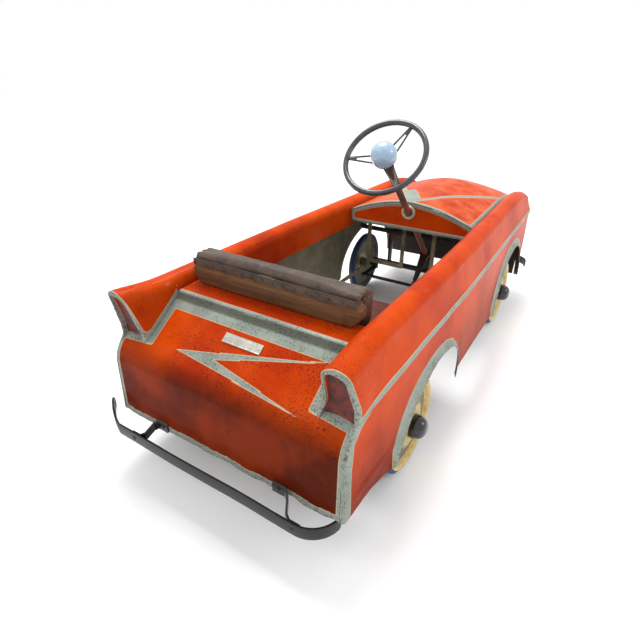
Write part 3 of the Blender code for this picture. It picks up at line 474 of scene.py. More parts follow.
# %% [markdown]
# ## Camera, floor and light
#
# The car stands on a pale studio floor. The camera looks down past the driver's shoulder
# from behind, with a fairly wide lens, so near parts look large. Light comes from a big
# soft source above, a second one from the right and a pale surround.

# %% Camera
EYE = Vector((-0.41252, 0.91706, 0.62176))
VIEW_RIGHT = Vector((-0.84167, -0.53999, -0.00148))
VIEW_UP = Vector((0.25946, -0.40682, 0.87588))
start_piece()
bpy.ops.object.camera_add()
camera = bpy.context.object
back = VIEW_RIGHT.cross(VIEW_UP)
camera.matrix_world = Matrix.Translation(EYE) @ Matrix(
    (
        (VIEW_RIGHT.x, VIEW_UP.x, back.x, 0),
        (VIEW_RIGHT.y, VIEW_UP.y, back.y, 0),
        (VIEW_RIGHT.z, VIEW_UP.z, back.z, 0),
        (0, 0, 0, 1),
    )
)
camera.data.sensor_width = 36
camera.data.lens = 26.18
bpy.context.scene.camera = camera
print("camera at", [round(value, 3) for value in EYE])


# %% Soft lights
def soft_light(name, place, aim, size, power, tint=(1, 1, 1)):
    start_piece()
    bpy.ops.object.light_add(type="AREA", location=place)
    light = bpy.context.object
    light.name = name
    light.rotation_euler = (Vector(aim) - Vector(place)).to_track_quat("-Z", "Y").to_euler()
    light.data.shape = "DISK"
    light.data.size = size
    light.data.energy = power
    light.data.color = tint
    return light


soft_light("top_light", (0.6, -0.5, 2.3), (0, 0.1, 0.1), 1.3, 46)
soft_light("right_light", (-2.2, -0.6, 1.6), (0, 0.1, 0.1), 1.0, 12)
soft_light("rear_light", (1.2, 2.2, 2.4), (0, 0.2, 0.1), 0.8, 4)
world = bpy.data.worlds.new("studio")
bpy.context.scene.world = world
world.use_nodes = True
world.node_tree.nodes["Background"].inputs["Color"].default_value = (1, 1, 1, 1)
world.node_tree.nodes["Background"].inputs["Strength"].default_value = 1.0
bpy.context.scene.view_settings.view_transform = "Standard"
bpy.context.scene.view_settings.look = "None"

# %% Floor
start_piece()
bpy.ops.mesh.primitive_plane_add(size=60, location=(0, 0, -0.0004))
floor = settle(named("floor"))
pale = Finish("studio_floor", Roughness=1.0, Specular_IOR_Level=0.0)
cloudy = pale.noise(2.0, 2).step(0.3, 0.7)
near_floor = pale.mix(cloudy, (0.97, 0.97, 0.975, 1), (0.98, 0.98, 0.982, 1))
reach = pale.node("VectorMath", {"operation": "LENGTH"}, {0: pale.place}, "Value")
pale.feed(Base_Color=pale.mix(reach.step(0.7, 2.2), near_floor, (1, 1, 1, 1)))
floor.data.materials.append(pale.material)

# %% [markdown]
# ## The body's two-colour enamel
#
# The body is orange-red enamel with silver trim bands, each edged by a thin cream line. The
# bands would be masked and sprayed on the real car. Here each point of a panel stores its
# distance to the nearest band edge, so the finish can place the line exactly, at any
# resolution. Age shows as fading, dark specks, rust in the silver and fine scratches.

# %% Enamel
ORANGE = colour(196, 66, 4)
ORANGE_DEEP = colour(168, 44, 6)
ORANGE_FADE_AND_SHEEN = colour(206, 104, 60)
OXBLOOD = colour(118, 32, 20)
PAINTED_SHADE_TONE = colour(64, 18, 3)
SILVER = colour(150, 158, 148)
SILVER_STAINED = colour(108, 106, 86)
CREAM_LINE = colour(196, 184, 150)
RUST = colour(86, 46, 26)
GROOVE_SHADE_TONE = colour(58, 52, 40)


def enamel(name, fade_and_sheen=0.0, freckled=0.5, scuffed=0.0):
    """Aged enamel that reads the trim and grime attributes of its piece, and two that paint shade:
    an overall darkening and dark lines at the gaps.
    """
    coat = Finish(name, Coat_Roughness=0.08, Coat_IOR=1.35, Specular_IOR_Level=0.02)
    trim = coat.attribute("trim")
    grime = coat.attribute("grime")
    broad = coat.noise(5.5, 4, 0.6)
    cloud = coat.noise(26, 4, 0.65)
    fine = coat.noise(190, 5, 0.7)
    grit = coat.noise(420, 4, 0.65)
    orange = coat.mix(broad.step(0.38, 0.66), ORANGE, ORANGE_DEEP)
    # Paler orange in clouds: real fading, and on the hood a painted sheen as well.
    orange = coat.mix(cloud.step(0.35, 0.8) * (0.08 + fade_and_sheen), orange, ORANGE_FADE_AND_SHEEN)
    orange = coat.mix(fine.step(0.5, 0.75) * 0.18, orange, OXBLOOD)
    # Painted shade: this attribute darkens the orange towards a deep brown-red on faces that get
    # less light: the tail, the lower walls, the rail flanges and the nose's foot.
    dusk = coat.attribute("dusk")
    shade = dusk * 1.2 + dusk * (broad.step(0.4, 0.6) - 0.5) * 0.3
    orange = coat.mix(shade.least(0.92), orange, PAINTED_SHADE_TONE)
    worn = cloud * 0.55 + broad * 0.45
    specks = grit.step(0.54, 0.61) * worn.step(0.58 - 0.14 * freckled, 0.72 - 0.14 * freckled)
    specks = (specks + grit.step(0.64, 0.69) * 0.8 + grime * grit.step(0.52, 0.6)).least(1)
    orange = coat.mix(specks * 0.75, orange, colour(62, 26, 18))
    streak = coat.noise(60, 4, 0.6, stretch=(1, 0.22, 2.4), distortion=0.4)
    scuffs = streak.step(0.60, 0.74) * coat.noise(9, 2).step(0.45, 0.62)
    if scuffed:
        orange = coat.mix(scuffs * scuffed, orange, colour(176, 150, 132))
    silver = coat.mix(cloud.step(0.3, 0.7), SILVER, colour(136, 146, 138))
    silver = coat.mix(fine.step(0.48, 0.72) * 0.5, silver, SILVER_STAINED)
    rusted = (specks * 0.6).most(grime * fine.step(0.54, 0.64) * 0.8)
    silver = coat.mix(rusted, silver, RUST)
    painted = coat.mix(trim.step(-0.00025, 0.00025), silver, orange)
    line = (1 - abs(trim).step(0.0004, 0.0008)) * fine.step(0.30, 0.44)
    painted = coat.mix(line * 0.7, painted, CREAM_LINE)
    # Painted shade: dark lines along the gaps at the panels' edges and on the step near the deck's
    # front.
    groove = coat.attribute("groove")
    painted = coat.mix(groove * 0.8, painted, GROOVE_SHADE_TONE)
    is_silver = 1 - trim.step(-0.0003, 0.0003)
    rough = 0.26 + fine * 0.16 + specks * 0.3 + is_silver * 0.16 + groove * 0.3 + scuffs * 0.15
    height = fine * 0.25 + cloud * 0.4 - specks * 0.6
    coat.feed(Base_Color=painted, Roughness=rough.least(0.9))
    coat.feed(Coat_Weight=(0.09 - is_silver * 0.05 - specks * 0.09).most(0))
    return coat.feed(Metallic=is_silver * 0.35, Normal=coat.bump(height, 0.0006, 0.55))


ENAMEL_SIDE = enamel("enamel_side", fade_and_sheen=0.04, freckled=0.6, scuffed=0.3)
ENAMEL_DECK = enamel("enamel_deck", fade_and_sheen=0.02, freckled=1.0)
# Painted sheen: the hood's high value lightens its orange to stand in for the light that its top
# reflects.
ENAMEL_HOOD = enamel("enamel_hood", fade_and_sheen=0.9, freckled=0.3, scuffed=0.3)
ENAMEL_DASH = enamel("enamel_dash", fade_and_sheen=0.05, freckled=0.6)


# %% The unpainted inside of the sheet
def inner_sheet():
    """Grey-olive primer, dusty and stained."""
    back_face = Finish("inner_sheet", Roughness=0.7)
    stain = back_face.noise(14, 5, 0.65)
    grit = back_face.noise(260, 3, 0.6)
    base = back_face.mix(stain.step(0.3, 0.7), colour(128, 124, 100), colour(98, 92, 70))
    base = back_face.mix(grit.step(0.6, 0.7) * 0.6, base, colour(70, 52, 36))
    back_face.feed(Base_Color=base, Normal=back_face.bump(grit + stain, 0.0006, 0.5))
    return back_face.feed(Roughness=0.55 + stain * 0.3)


def blotched(name, cloud, first, second, rough, strength):
    """A dull finish of two tones in blotches."""
    dull = Finish(name, Roughness=rough)
    blotch = dull.noise(*cloud)
    tone = dull.mix(blotch.step(0.35, 0.65), first, second)
    return dull.feed(Base_Color=tone, Normal=dull.bump(blotch, 0.001, strength))


INNER_SHEET = inner_sheet()
# Rust under the hood, made darker than the other inner faces to paint the shade that falls there.
UNDERSIDE_RUST_AND_SHADE = blotched(
    "underside_rust_and_shade", (22, 5, 0.7), colour(66, 46, 34), colour(40, 32, 26), 0.8, 0.5
)
# Painted shade: the dark red seen inside the fins' hollow ends.
RECESS_SHADE = blotched("recess_shade", (70, 4, 0.6), OXBLOOD, colour(52, 26, 20), 0.62, 0.6)
print("enamel and inner sheet ready")

# %% [markdown]
# ## The body's sides
#
# Each side is one long pressing: an inner flange, a round rail on top, a raised bead and a
# nearly flat wall with two flared wheel arches. A sheet that follows the rail's section
# keeps these lines straight from nose to tail, as the press did. Its ends roll inwards, and
# the arches are cut after it has its wall.

# %% The shape of the sides
DECK_PATH = [
    (0.3990, 0.2700), (0.3990, 0.2930), (0.4040, 0.2975), (0.4560, 0.2950),
    (0.4620, 0.2850), (0.4700, 0.2790), (0.5320, 0.2355), (0.5460, 0.2245),
    (0.5540, 0.2130), (0.5590, 0.1980), (0.5605, 0.1640), (0.5635, 0.0960),
]
DECK_WIDE_FROM = 0.518
SIDE_REAR = [
    (0.3320, 0.5640), (0.3180, 0.5600), (0.2800, 0.5475), (0.2500, 0.5382), (0.2420, 0.5368),
    (0.2355, 0.5385), (0.2300, 0.5415), (0.2245, 0.5460), (0.2130, 0.5540), (0.1980, 0.5590),
    (0.1640, 0.5605), (0.0960, 0.5635), (0.0400, 0.5655),
]


def half_width(y):
    share = (TAPER_START - y) / (TAPER_START - NOSE_TOP_Y)
    return WAIST + (NOSE_HALF - WAIST) * max(share, 0)


def droop(y):
    share = min((DROOP_START - y) / (DROOP_START - NOSE_TOP_Y), 1.15)
    return DROOP * max(share, 0) ** 2


def rail_inner(y):
    return half_width(y) - RAIL_INSET - 2 * RAIL_RADIUS


def deck_z(y):
    return float(np.interp(y, [p[0] for p in DECK_PATH[1:]], [p[1] for p in DECK_PATH[1:]]))


def side_section(y, count):
    """The left side's section at y, from the flange over the rail and down, as (x, z)."""
    waist, fall = half_width(y), droop(y)
    inner = rail_inner(y)
    middle_x, middle_z = inner + RAIL_RADIUS, RAIL_TOP - RAIL_RADIUS - fall
    flange = 0.254 - fall
    if y > 0.456:
        flange = min(flange, max(deck_z(y), 0.236) - 0.008)
    points = [(inner - 0.002, flange), (inner - 0.0005, middle_z - 0.012)]
    for step in range(17):
        angle = math.pi * (1 - step / 16)
        x = middle_x + RAIL_RADIUS * math.cos(angle)
        points.append((x, middle_z + RAIL_RADIUS * math.sin(angle)))
    points += [(waist - 0.004, 0.250), (waist - 0.0005, 0.170), (waist + 0.0015, 0.050)]
    return even_path(points, count)


def arch_points(centre, half, skew, foot, top, count=48):
    """A wheel arch's edge from its rear foot over to its front foot, as (y, z)."""
    angles = np.linspace(0, math.pi, count + 1)
    y = centre + half * np.cos(angles) - skew * np.sin(angles)
    return np.stack([y, foot + (top - foot) * np.sin(angles)], axis=1)


REAR_ARCH = arch_points(0.270, 0.141, 0.035, 0.070, 0.178)
FRONT_ARCH = arch_points(-0.333, 0.151, 0.005, 0.066, 0.194)
print("rear arch", round(REAR_ARCH[:, 1].max(), 4), "m high")


# %% The left side as rows of points
def end_y(z, rear):
    """Where the sheet ends at a height, at the tail or at the nose."""
    if rear:
        heights, places = zip(*reversed(SIDE_REAR))
        return float(np.interp(z, heights, places))
    place = NOSE_TOP_Y + max(0.300 - z, 0) * 0.062 / 0.238
    corner = 0.016
    above = min(max(z - (RAIL_TOP - DROOP - corner), 0), corner)
    return place + corner - math.sqrt(corner**2 - above**2)


def side_columns(count):
    """(share of the length, end, roll angle, rim depth, lining depth), from nose to tail."""
    quarter = list(np.linspace(0, math.pi / 2, 8)[1:])
    lining = [(0.0018, 0.0), (0.0022, 0.0025), (0.0024, 0.0110)]
    ends = []
    for share, end in ((0, -1), (1, 1)):
        rolled = [(share, end, angle, 0, 0) for angle in quarter]
        ends.append(rolled + [(share, end, math.pi / 2, *step) for step in lining])
    middle = [(share, 0, 0, 0, 0) for share in np.linspace(0, 1, count)]
    return list(reversed(ends[0])) + middle + ends[1]


ROLL = {-1: 0.0065, 0: 0.0, 1: 0.0045}
SIDE_ROWS = 84
FLANGE_ROWS = 20
WALL_FROM_ROW = 34
FIN_FOOT_Z = 0.243


def side_points():
    columns = []
    for share, end, angle, deeper, back in side_columns(244):
        near = [end_y(0.29, False) + ROLL[-1], end_y(0.31, True) - ROLL[1]]
        station = near[0] + (near[1] - near[0]) * share
        section = side_section(station, SIDE_ROWS)
        run = np.gradient(section, axis=0)
        run /= np.linalg.norm(run, axis=1)[:, None]
        inward = ROLL[end] * (1 - math.cos(angle)) + deeper
        beyond = end * (ROLL[end] * math.sin(angle) - back)
        column = []
        for row, ((x, z), (run_x, run_z)) in enumerate(zip(section, run)):
            low = end_y(z, False) + ROLL[-1]
            high = end_y(max(z, FIN_FOOT_Z) if row < FLANGE_ROWS else z, True) - ROLL[1]
            y = low + (high - low) * share + beyond
            x += half_width(y) - half_width(station)
            flick = 0.0095 * float(rise(y, 0.470, 0.575)) * float(rise(z, 0.262, 0.300))
            column.append((x + run_z * inward, y, z - run_x * inward + flick))
        columns.append(column)
    return np.array(columns)


side_grid = side_points()
print("side sheet", side_grid.shape)


# %% Bead, arch flares, crease and small dents
def side_relief(grid):
    """Moves the outer wall's points outwards by the pressed details."""
    wall = np.zeros(grid.shape[:2])
    wall[:, WALL_FROM_ROW:] = 1
    y, z = grid[..., 1], grid[..., 2]
    flat = np.stack([y.ravel(), z.ravel()], axis=1)
    arch = np.minimum(distance_to_path(flat, REAR_ARCH), distance_to_path(flat, FRONT_ARCH))
    arch = arch.reshape(y.shape)
    opening = inside_outline(flat, REAR_ARCH.tolist()) | inside_outline(flat, FRONT_ARCH.tolist())
    arch = np.where(opening.reshape(y.shape), 0, arch)
    out = 0.0026 * bump(z - BEAD_Z, 0.0085) * rise(y, -0.60, -0.545)
    out += 0.0055 * (1 - rise(arch, 0.0, 0.013)) + 0.0012 * (1 - rise(arch, 0.013, 0.018))
    crease = 0.0022 * bump(z - (0.118 + 0.02 * (y - 0.48)), 0.010) * rise(y, 0.40, 0.43)
    out += crease * (1 - rise(y, 0.525, 0.545))
    dents = [ripple(point, 9, 3.0) + 0.5 * ripple(point, 24, 8.0) for point in grid.reshape(-1, 3)]
    out += 0.0009 * np.array(dents).reshape(y.shape)
    grid[..., 0] += out * wall
    return grid


side_grid = side_relief(side_grid)


# %% Sheet, wall and arches
def from_grid(name, grid):
    """A sheet whose points are already known, column by column."""
    columns, rows = grid.shape[:2]
    start_piece()
    bpy.ops.mesh.primitive_grid_add(x_subdivisions=rows - 1, y_subdivisions=columns - 1, size=1)
    obj = named(name)
    for vertex in obj.data.vertices:
        row = round((vertex.co.x + 0.5) * (rows - 1))
        column = round((vertex.co.y + 0.5) * (columns - 1))
        vertex.co = grid[column, row]
    obj.data.update()
    return obj


def extruded(name, outline, low, high):
    """A (y, z) outline filled and extruded along X."""
    start_piece()
    bpy.ops.mesh.primitive_circle_add(vertices=len(outline), radius=1, fill_type="NGON")
    obj = named(name)
    for vertex, (y, z) in zip(obj.data.vertices, outline):
        vertex.co = (low, y, z)
    bpy.ops.object.mode_set(mode="EDIT")
    bpy.ops.mesh.select_all(action="SELECT")
    bpy.ops.mesh.extrude_region_move(TRANSFORM_OT_translate={"value": (high - low, 0, 0)})
    bpy.ops.mesh.select_all(action="SELECT")
    bpy.ops.mesh.normals_make_consistent(inside=False)
    bpy.ops.object.mode_set(mode="OBJECT")
    return obj


def walled(obj, thickness=WALL):
    """Gives a sheet its wall, behind the faces, with the primer finish on its back."""
    obj.data.materials.clear()
    obj.data.materials.append(ENAMEL_SIDE)
    obj.data.materials.append(INNER_SHEET)
    settings = {"thickness": thickness, "offset": -1, "use_even_offset": False}
    return modify(obj, "SOLIDIFY", material_offset=1, **settings)


def finish_panel(obj, front, node, back=INNER_SHEET):
    """Smooths a walled panel of the body and gives its two faces their finishes."""
    obj.data.materials[0] = front
    obj.data.materials[1] = back
    return finish_piece(smooth(obj), None, "body", node, slot="orange_paint")


SILL = [(0.080, 0.076), (-0.060, 0.072)]
below = [(0.620, 0.099), (0.5635, 0.0965), (0.490, 0.091)]
below += REAR_ARCH.tolist() + SILL + FRONT_ARCH.tolist()
below += [(-0.500, 0.062), (-0.620, 0.050), (-0.620, -0.020), (0.620, -0.020)]
left_side = walled(from_grid("side_left", side_grid))
cut(left_side, extruded("below_side", below, 0.10, 0.30))
print(len(left_side.data.polygons), "faces after the arches are cut")

# %% [markdown]
# ## Where the silver bands run
#
# The bead, the arch rims, the tail corner and the fin's end are silver. One number holds
# them all: the smallest distance to any band, negative inside it. Grime gathers at the cut
# edges and round the fin's end.

# %% Trim and grime of the sides
ARCH_BAND = {
    "rear": [
        (0.424, 0.050), (0.419, 0.072), (0.414, 0.114), (0.392, 0.146), (0.365, 0.170),
        (0.327, 0.186), (0.275, 0.195), (0.235, 0.196), (0.202, 0.192), (0.168, 0.179),
        (0.143, 0.157), (0.127, 0.127), (0.118, 0.096), (0.114, 0.050),
    ],
    "front": [
        (-0.168, 0.050), (-0.170, 0.090), (-0.182, 0.132), (-0.204, 0.165), (-0.244, 0.193),
        (-0.290, 0.208), (-0.333, 0.212), (-0.386, 0.208), (-0.436, 0.190), (-0.474, 0.160),
        (-0.493, 0.120), (-0.500, 0.050),
    ],
}
TAIL_BAND = [(0.660, 0.060), (0.549, 0.060), (0.547, 0.112), (0.546, 0.174), (0.538, 0.213)]
TAIL_BAND += [(0.519, 0.229), (0.498, 0.2340), (0.490, 0.2445), (0.560, 0.2445), (0.660, 0.2445)]


def paint_side(obj):
    points = points_of(obj)
    flat = points[:, 1:]
    bead = np.abs(points[:, 2] - BEAD_Z) - 0.0058
    trim = bead
    for outline in ARCH_BAND.values():
        trim = np.minimum(trim, signed_distance(flat, outline))
    trim = np.minimum(trim, signed_distance(flat, TAIL_BAND))
    fin = np.interp(points[:, 2], *zip(*[(z, y) for z, y in reversed(SIDE_REAR)])) - points[:, 1]
    across = points[:, 0] - np.array([rail_inner(y) for y in points[:, 1]])
    border = 0.0040 + 0.0040 * rise(across, 0.004, 0.045)
    trim = np.where(points[:, 2] > 0.240, np.minimum(trim, fin - border), trim)
    flange = points[:, 2] - np.array([max(deck_z(y), 0.236) for y in points[:, 1]]) - 0.0085
    inner = points[:, 0] < np.array([rail_inner(y) for y in points[:, 1]]) + 0.006
    trim = np.where(inner & (points[:, 1] > 0.455), np.minimum(trim, flange), trim)
    edge = np.minimum(distance_to_path(flat, REAR_ARCH), distance_to_path(flat, FRONT_ARCH))
    edge = np.minimum(edge, np.abs(fin) * 1.3)
    edge = np.minimum(edge, np.maximum(points[:, 2] - 0.078, 0) * 1.2)
    grime = 0.85 * (1 - rise(edge, 0.001, 0.010))
    speck = 0.5 * rise(points[:, 1], 0.40, 0.56) * rise(points[:, 2], 0.26, 0.30)
    # Painted shade: the outer wall darkens towards its foot, and the rail's inner flange is darker
    # all along.
    low_wall_shade = 0.42 * (1 - rise(points[:, 2], 0.09, 0.235)) * (1 - inner)
    grime = np.maximum(grime, speck)
    write_attributes(obj, trim=trim, grime=grime, groove=0.0, dusk=low_wall_shade + 0.22 * inner)


paint_side(left_side)
smooth(left_side, 40)
right_side = mirrored(left_side, "side_right")


def pushed(point):
    """The right fin's end, knocked forwards and outwards and a little down."""
    share = float(rise(point[1], 0.440, 0.575) * rise(point[2], 0.232, 0.270))
    return (point[0] - 0.008 * share, point[1] - 0.012 * share, point[2] - 0.007 * share)


place_points(right_side, pushed)
for side_piece in (left_side, right_side):
    finish_piece(side_piece, None, "body", "body_" + side_piece.name, slot="orange_paint")
print("two sides of", len(left_side.data.vertices), "points")


# %% The recess in each fin's end
def recess_plate(sign, word):
    """A dark red plate set inside the rolled end of a fin, painted to stand for the shade in the
    fin's hollow end.
    """

    def shape(u, v):
        z = 0.231 + 0.0850 * math.sin(v * math.pi / 2)
        lift = min(max((z - (RAIL_TOP - RAIL_RADIUS)) / (RAIL_RADIUS - 0.0035), 0), 1)
        half = math.sqrt(1 - lift**2)
        middle = rail_inner(0.5) + RAIL_RADIUS
        low = middle - (RAIL_RADIUS - 0.0012) * half
        high = middle + (RAIL_RADIUS - 0.0018 + 0.011 * (1 - rise(z, 0.245, 0.296))) * half
        y = end_y(z, True) - 0.0075 - 0.002 * math.sin(u * math.pi)
        z += 0.0085 * float(rise(z, 0.262, 0.300))
        place = (sign * (low + (high - low) * u), y, z)
        return place if sign > 0 else pushed(place)

    flip = (lambda u, v: shape(1 - u, v)) if sign > 0 else shape
    plate = walled(sheet("fin_recess_" + word, 14, 22, flip), 0.001)
    return finish_piece(smooth(plate), RECESS_SHADE, "body", slot="orange_paint")


for sign, word in LEFT_RIGHT:
    recess_plate(sign, word)
print("fin recesses set")

# %% [markdown]
# ## Deck and tail
#
# One pressing runs from the seat back over the deck and down the tail. It is narrow between
# the fins and wide behind them. A sheet follows its profile, with the corners eased to
# small radii, and two blocks cut the places of the fins. Its lower lip is dented.

# %% The deck's sheet
def eased_path(points, count, width):
    """An even path whose corners are rounded over a width."""
    path = even_path(points, 1200)
    step = np.linalg.norm(path[1] - path[0])
    half = max(int(width / step / 2), 1)
    padded = np.vstack([np.repeat(path[:1], half, 0), path, np.repeat(path[-1:], half, 0)])
    kernel = np.hanning(2 * half + 3)[1:-1]
    kernel /= kernel.sum()
    eased = np.stack([np.convolve(axis, kernel, "valid") for axis in padded.T], axis=1)
    eased[0], eased[-1] = path[0], path[-1]
    return even_path(eased, count)


deck_path = np.vstack(
    [eased_path(DECK_PATH[:7], 110, 0.004), eased_path(DECK_PATH[6:], 90, 0.012)[1:]]
)
deck_run = np.concatenate([[0], np.cumsum(np.linalg.norm(np.diff(deck_path, axis=0), axis=1))])
DECK_HALF = WAIST - 0.0072
NARROW_HALF = rail_inner(0.5) - 0.0024


def deck_shape(u, v):
    spot = v * deck_run[-1]
    y, z = (float(np.interp(spot, deck_run, axis)) for axis in deck_path.T)
    x = DECK_HALF * (2 * u - 1)
    tail = float(rise(np.float64(spot), deck_run[-1] - 0.06, deck_run[-1]))
    wave = ripple((x, y, z), 11, 2.0) * 0.0008 + ripple((x, 0, 0), 26, 5.0) * 0.0022 * tail
    nick = ripple((x, 0, 0), 60, 9.0) * 0.0024 * tail**4
    return (x, y + wave * (0.3 + tail) + 0.0005 * tail, z + wave * (1 - tail) + nick)


deck = sheet("deck_and_tail", 150, 210, deck_shape)
print("deck profile is", round(float(deck_run[-1]), 3), "m long")

# %% Wall, fin cuts and trim
walled(deck)
for sign in (1, -1):
    near = [sign * NARROW_HALF, sign * 0.3]
    low = (min(near), 0.380, 0.150)
    high = (max(near), DECK_WIDE_FROM, 0.360)
    cut(deck, block("fin_room", low, high))


def spot_of(y, z):
    """Distance along the deck's profile of a point on it."""
    gaps = (deck_path[:, 0] - y) ** 2 + (deck_path[:, 1] - z) ** 2
    return float(deck_run[int(np.argmin(gaps))])


def paint_deck(obj):
    points = points_of(obj)
    gaps = (points[:, 1:2] - deck_path[:, 0]) ** 2 + (points[:, 2:] - deck_path[:, 1]) ** 2
    spots = deck_run[np.argmin(gaps, axis=1)]
    flat = np.stack([points[:, 0], spots], axis=1)
    band_low, band_high = spot_of(0.4520, 0.2952), spot_of(0.4785, 0.2730)
    shoulder, foot = spot_of(0.5290, 0.2376), deck_run[-1] - 0.010
    half = NARROW_HALF - 0.0115
    field = [(-half, band_high), (half, band_high), (half, shoulder + 0.006)]
    wide = DECK_HALF - 0.005
    field += [(wide, shoulder + 0.012), (wide, foot), (-wide, foot)]
    field += [(-wide, shoulder + 0.012), (-half, shoulder + 0.006)]
    trim = -signed_distance(flat, field)
    trim = np.where(spots < (band_low + band_high) / 2, band_low - spots, trim)
    chevron = [(0.0996, 0.5282, 0.2381), (-0.1402, 0.4800, 0.2720)]
    chevron += [(0.0279, 0.5229, 0.2419), (-0.1365, 0.5462, 0.2255)]
    arrow = signed_distance(flat, [(x, spot_of(y, z)) for x, y, z in chevron])
    # Painted shade: a dark band on the face of the step near the deck's front.
    step_low, step_high = spot_of(0.4575, 0.2925), spot_of(0.4655, 0.2825)
    groove = rise(spots, step_low - 0.001, step_low + 0.002)
    groove *= 1 - rise(spots, step_high - 0.002, step_high + 0.002)
    lip = 1 - rise(deck_run[-1] - spots, 0.001, 0.012)
    corner = bump(points[:, 0] + 0.150, 0.080) * bump(spots - shoulder + 0.01, 0.080)
    ledge = bump(np.abs(points[:, 0]) - 0.19, 0.03) * bump(spots - shoulder, 0.02)
    seat_side = 0.35 * (1 - rise(spots, 0.02, 0.08))
    grime = np.maximum.reduce([0.8 * lip, 0.75 * corner, 0.9 * ledge, seat_side])
    # Painted shade: the tail below the deck's shoulder is darker, a little more so on the right.
    dusk = 0.72 * rise(spots, shoulder - 0.004, shoulder + 0.055)
    dusk *= 0.85 + 0.15 * rise(-points[:, 0], -0.2, 0.15)
    trim = np.minimum(trim, arrow)
    write_attributes(obj, trim=trim, grime=grime, groove=groove * 0.8, dusk=dusk)


paint_deck(deck)
finish_panel(deck, ENAMEL_DECK, "rear_deck")
print("deck painted,", len(deck.data.polygons), "faces")

# %% [markdown]
# ## Hood and dash
#
# The hood is crowned and falls towards the nose. Its painted V starts behind the steering
# column. The dash is a flat plate under it, outlined in silver.

# %% Hood
def hood_z(share, y):
    crown = 0.038 + 0.004 * math.sin(math.pi * min((DASH_Y - y) / 0.4, 1))
    crown -= 0.012 * max(0.0, (-0.40 - y) / 0.145)
    return 0.299 - 0.8 * droop(y) + crown * (1 - abs(share) ** 1.8)


def hood_shape(u, v):
    y = hood_low.y + (DASH_Y - hood_low.y) * v
    share = 2 * u - 1
    half = rail_inner(y) - 0.0024
    edge = max(abs(share) * half - (half - 0.004), 0) / 0.004
    dash_edge = max(y - (DASH_Y - 0.004), 0) / 0.004
    z = hood_z(share, y) - 0.0018 * edge**2 - 0.0020 * dash_edge**2
    z += 0.0006 * ripple((share, y * 3, 0), 4, 1.0)
    return (share * half, y, z)


hood_panel = walled(sheet("hood_panel", 110, 130, hood_shape))
points = points_of(hood_panel)
halves = np.array([rail_inner(y) - 0.0024 for y in points[:, 1]])
border = np.minimum(halves - np.abs(points[:, 0]) - 0.0085, DASH_Y - points[:, 1] - 0.0080)
stripe = [(-0.004, -0.128), (-0.016, -0.145), (-0.044, -0.198), (-0.094, -0.299)]
stripe = smooth_path(stripe + [(-0.135, -0.391), (-0.156, -0.447)], 30)
plan = np.stack([-np.abs(points[:, 0]), points[:, 1]], axis=1)
vee = distance_to_path(plan, stripe) - 0.0052 * (1 - 0.5 * rise(-points[:, 1], 0.3, 0.47))
patch = [(-0.006, -0.112), (0.014, -0.134), (0.056, -0.238), (0.034, -0.232), (-0.015, -0.149)]
wedge = signed_distance(points[:, :2], patch)
rim = np.minimum(halves - np.abs(points[:, 0]), DASH_Y - points[:, 1])
# Painted shade: a dark line along the hood's edges, where it meets the rails and the dash.
write_attributes(
    hood_panel,
    trim=np.minimum.reduce([border, vee, wedge]),
    grime=0.6 * (1 - rise(rim, 0.0, 0.006)),
    groove=0.7 * (1 - rise(rim, 0.0, 0.0016)),
)
finish_panel(hood_panel, ENAMEL_HOOD, "hood", UNDERSIDE_RUST_AND_SHADE)
print("hood crown", round(hood_z(0, -0.2), 4), "m")

# %% Dash
BOSS = Vector((0, DASH_Y + 0.002, 0.312))
COLUMN_TILT = math.radians(45.4)
COLUMN_UP = Vector((0, math.sin(COLUMN_TILT), math.cos(COLUMN_TILT)))
WHEEL_CENTRE = BOSS + COLUMN_UP * 0.2099
dash_half = rail_inner(DASH_Y) - 0.0024


def dash_top(share):
    return hood_z(share, DASH_Y) - 0.0036


def dash_shape(u, v):
    share = 1 - 2 * u
    z = dash_low.z + (dash_top(share) - dash_low.z) * v
    x = share * dash_half
    across = min(abs(x + dash_half), abs(x - dash_half), (z - dash_low.z), dash_top(share) - z)
    bead = 0.0016 * float(bump(np.float64(across - 0.0042), 0.0042))
    return (x, dash_high.y + bead - 0.0004, z)


dash = walled(sheet("dash_panel", 150, 34, dash_shape))
points = points_of(dash)
tops = np.array([dash_top(x / dash_half) for x in points[:, 0]])
from_ends = dash_half - np.abs(points[:, 0])
inset = np.minimum.reduce([from_ends, points[:, 2] - dash_low.z, tops - points[:, 2]])
# Painted shade: a dark line just inside the dash's edges.
write_attributes(
    dash,
    trim=inset - 0.0082,
    grime=0.7 * (1 - rise(inset, 0.0, 0.004)),
    groove=0.5 * bump(inset - 0.0008, 0.0012),
)
finish_panel(dash, ENAMEL_DASH, "dashboard")
print("dash", round(2 * dash_half, 3), "m wide")

# %% [markdown]
# ## Plain finishes for the metal parts
#
# The solids whose shape is already right keep it, and get an aged finish: greasy dark frame
# paint, bare worn steel, black enamel and dull plated metal. Each is built the same way
# from a base, a stain and fine grit, so one function makes them all.

# %% Aged metal
def aged(name, base, stained, grit_colour, rough=0.45, metal=0.0, grit=0.6, coat=0.0):
    metalwork = Finish(name, Coat_Weight=coat, Coat_Roughness=0.15, Specular_IOR_Level=0.35)
    stain = metalwork.noise(38, 5, 0.65)
    fine = metalwork.noise(330, 4, 0.6)
    tone = metalwork.mix(stain.step(0.36, 0.66), base, stained)
    spots = fine.step(0.58, 0.68) * stain.step(0.35, 0.6)
    tone = metalwork.mix(spots * grit, tone, grit_colour)
    metalwork.feed(Base_Color=tone, Metallic=(metal - spots * metal).most(0))
    metalwork.feed(Roughness=(rough + stain * 0.2 - 0.1 + spots * 0.3).least(0.95))
    return metalwork.feed(Normal=metalwork.bump(fine + stain, 0.0005, 0.4))


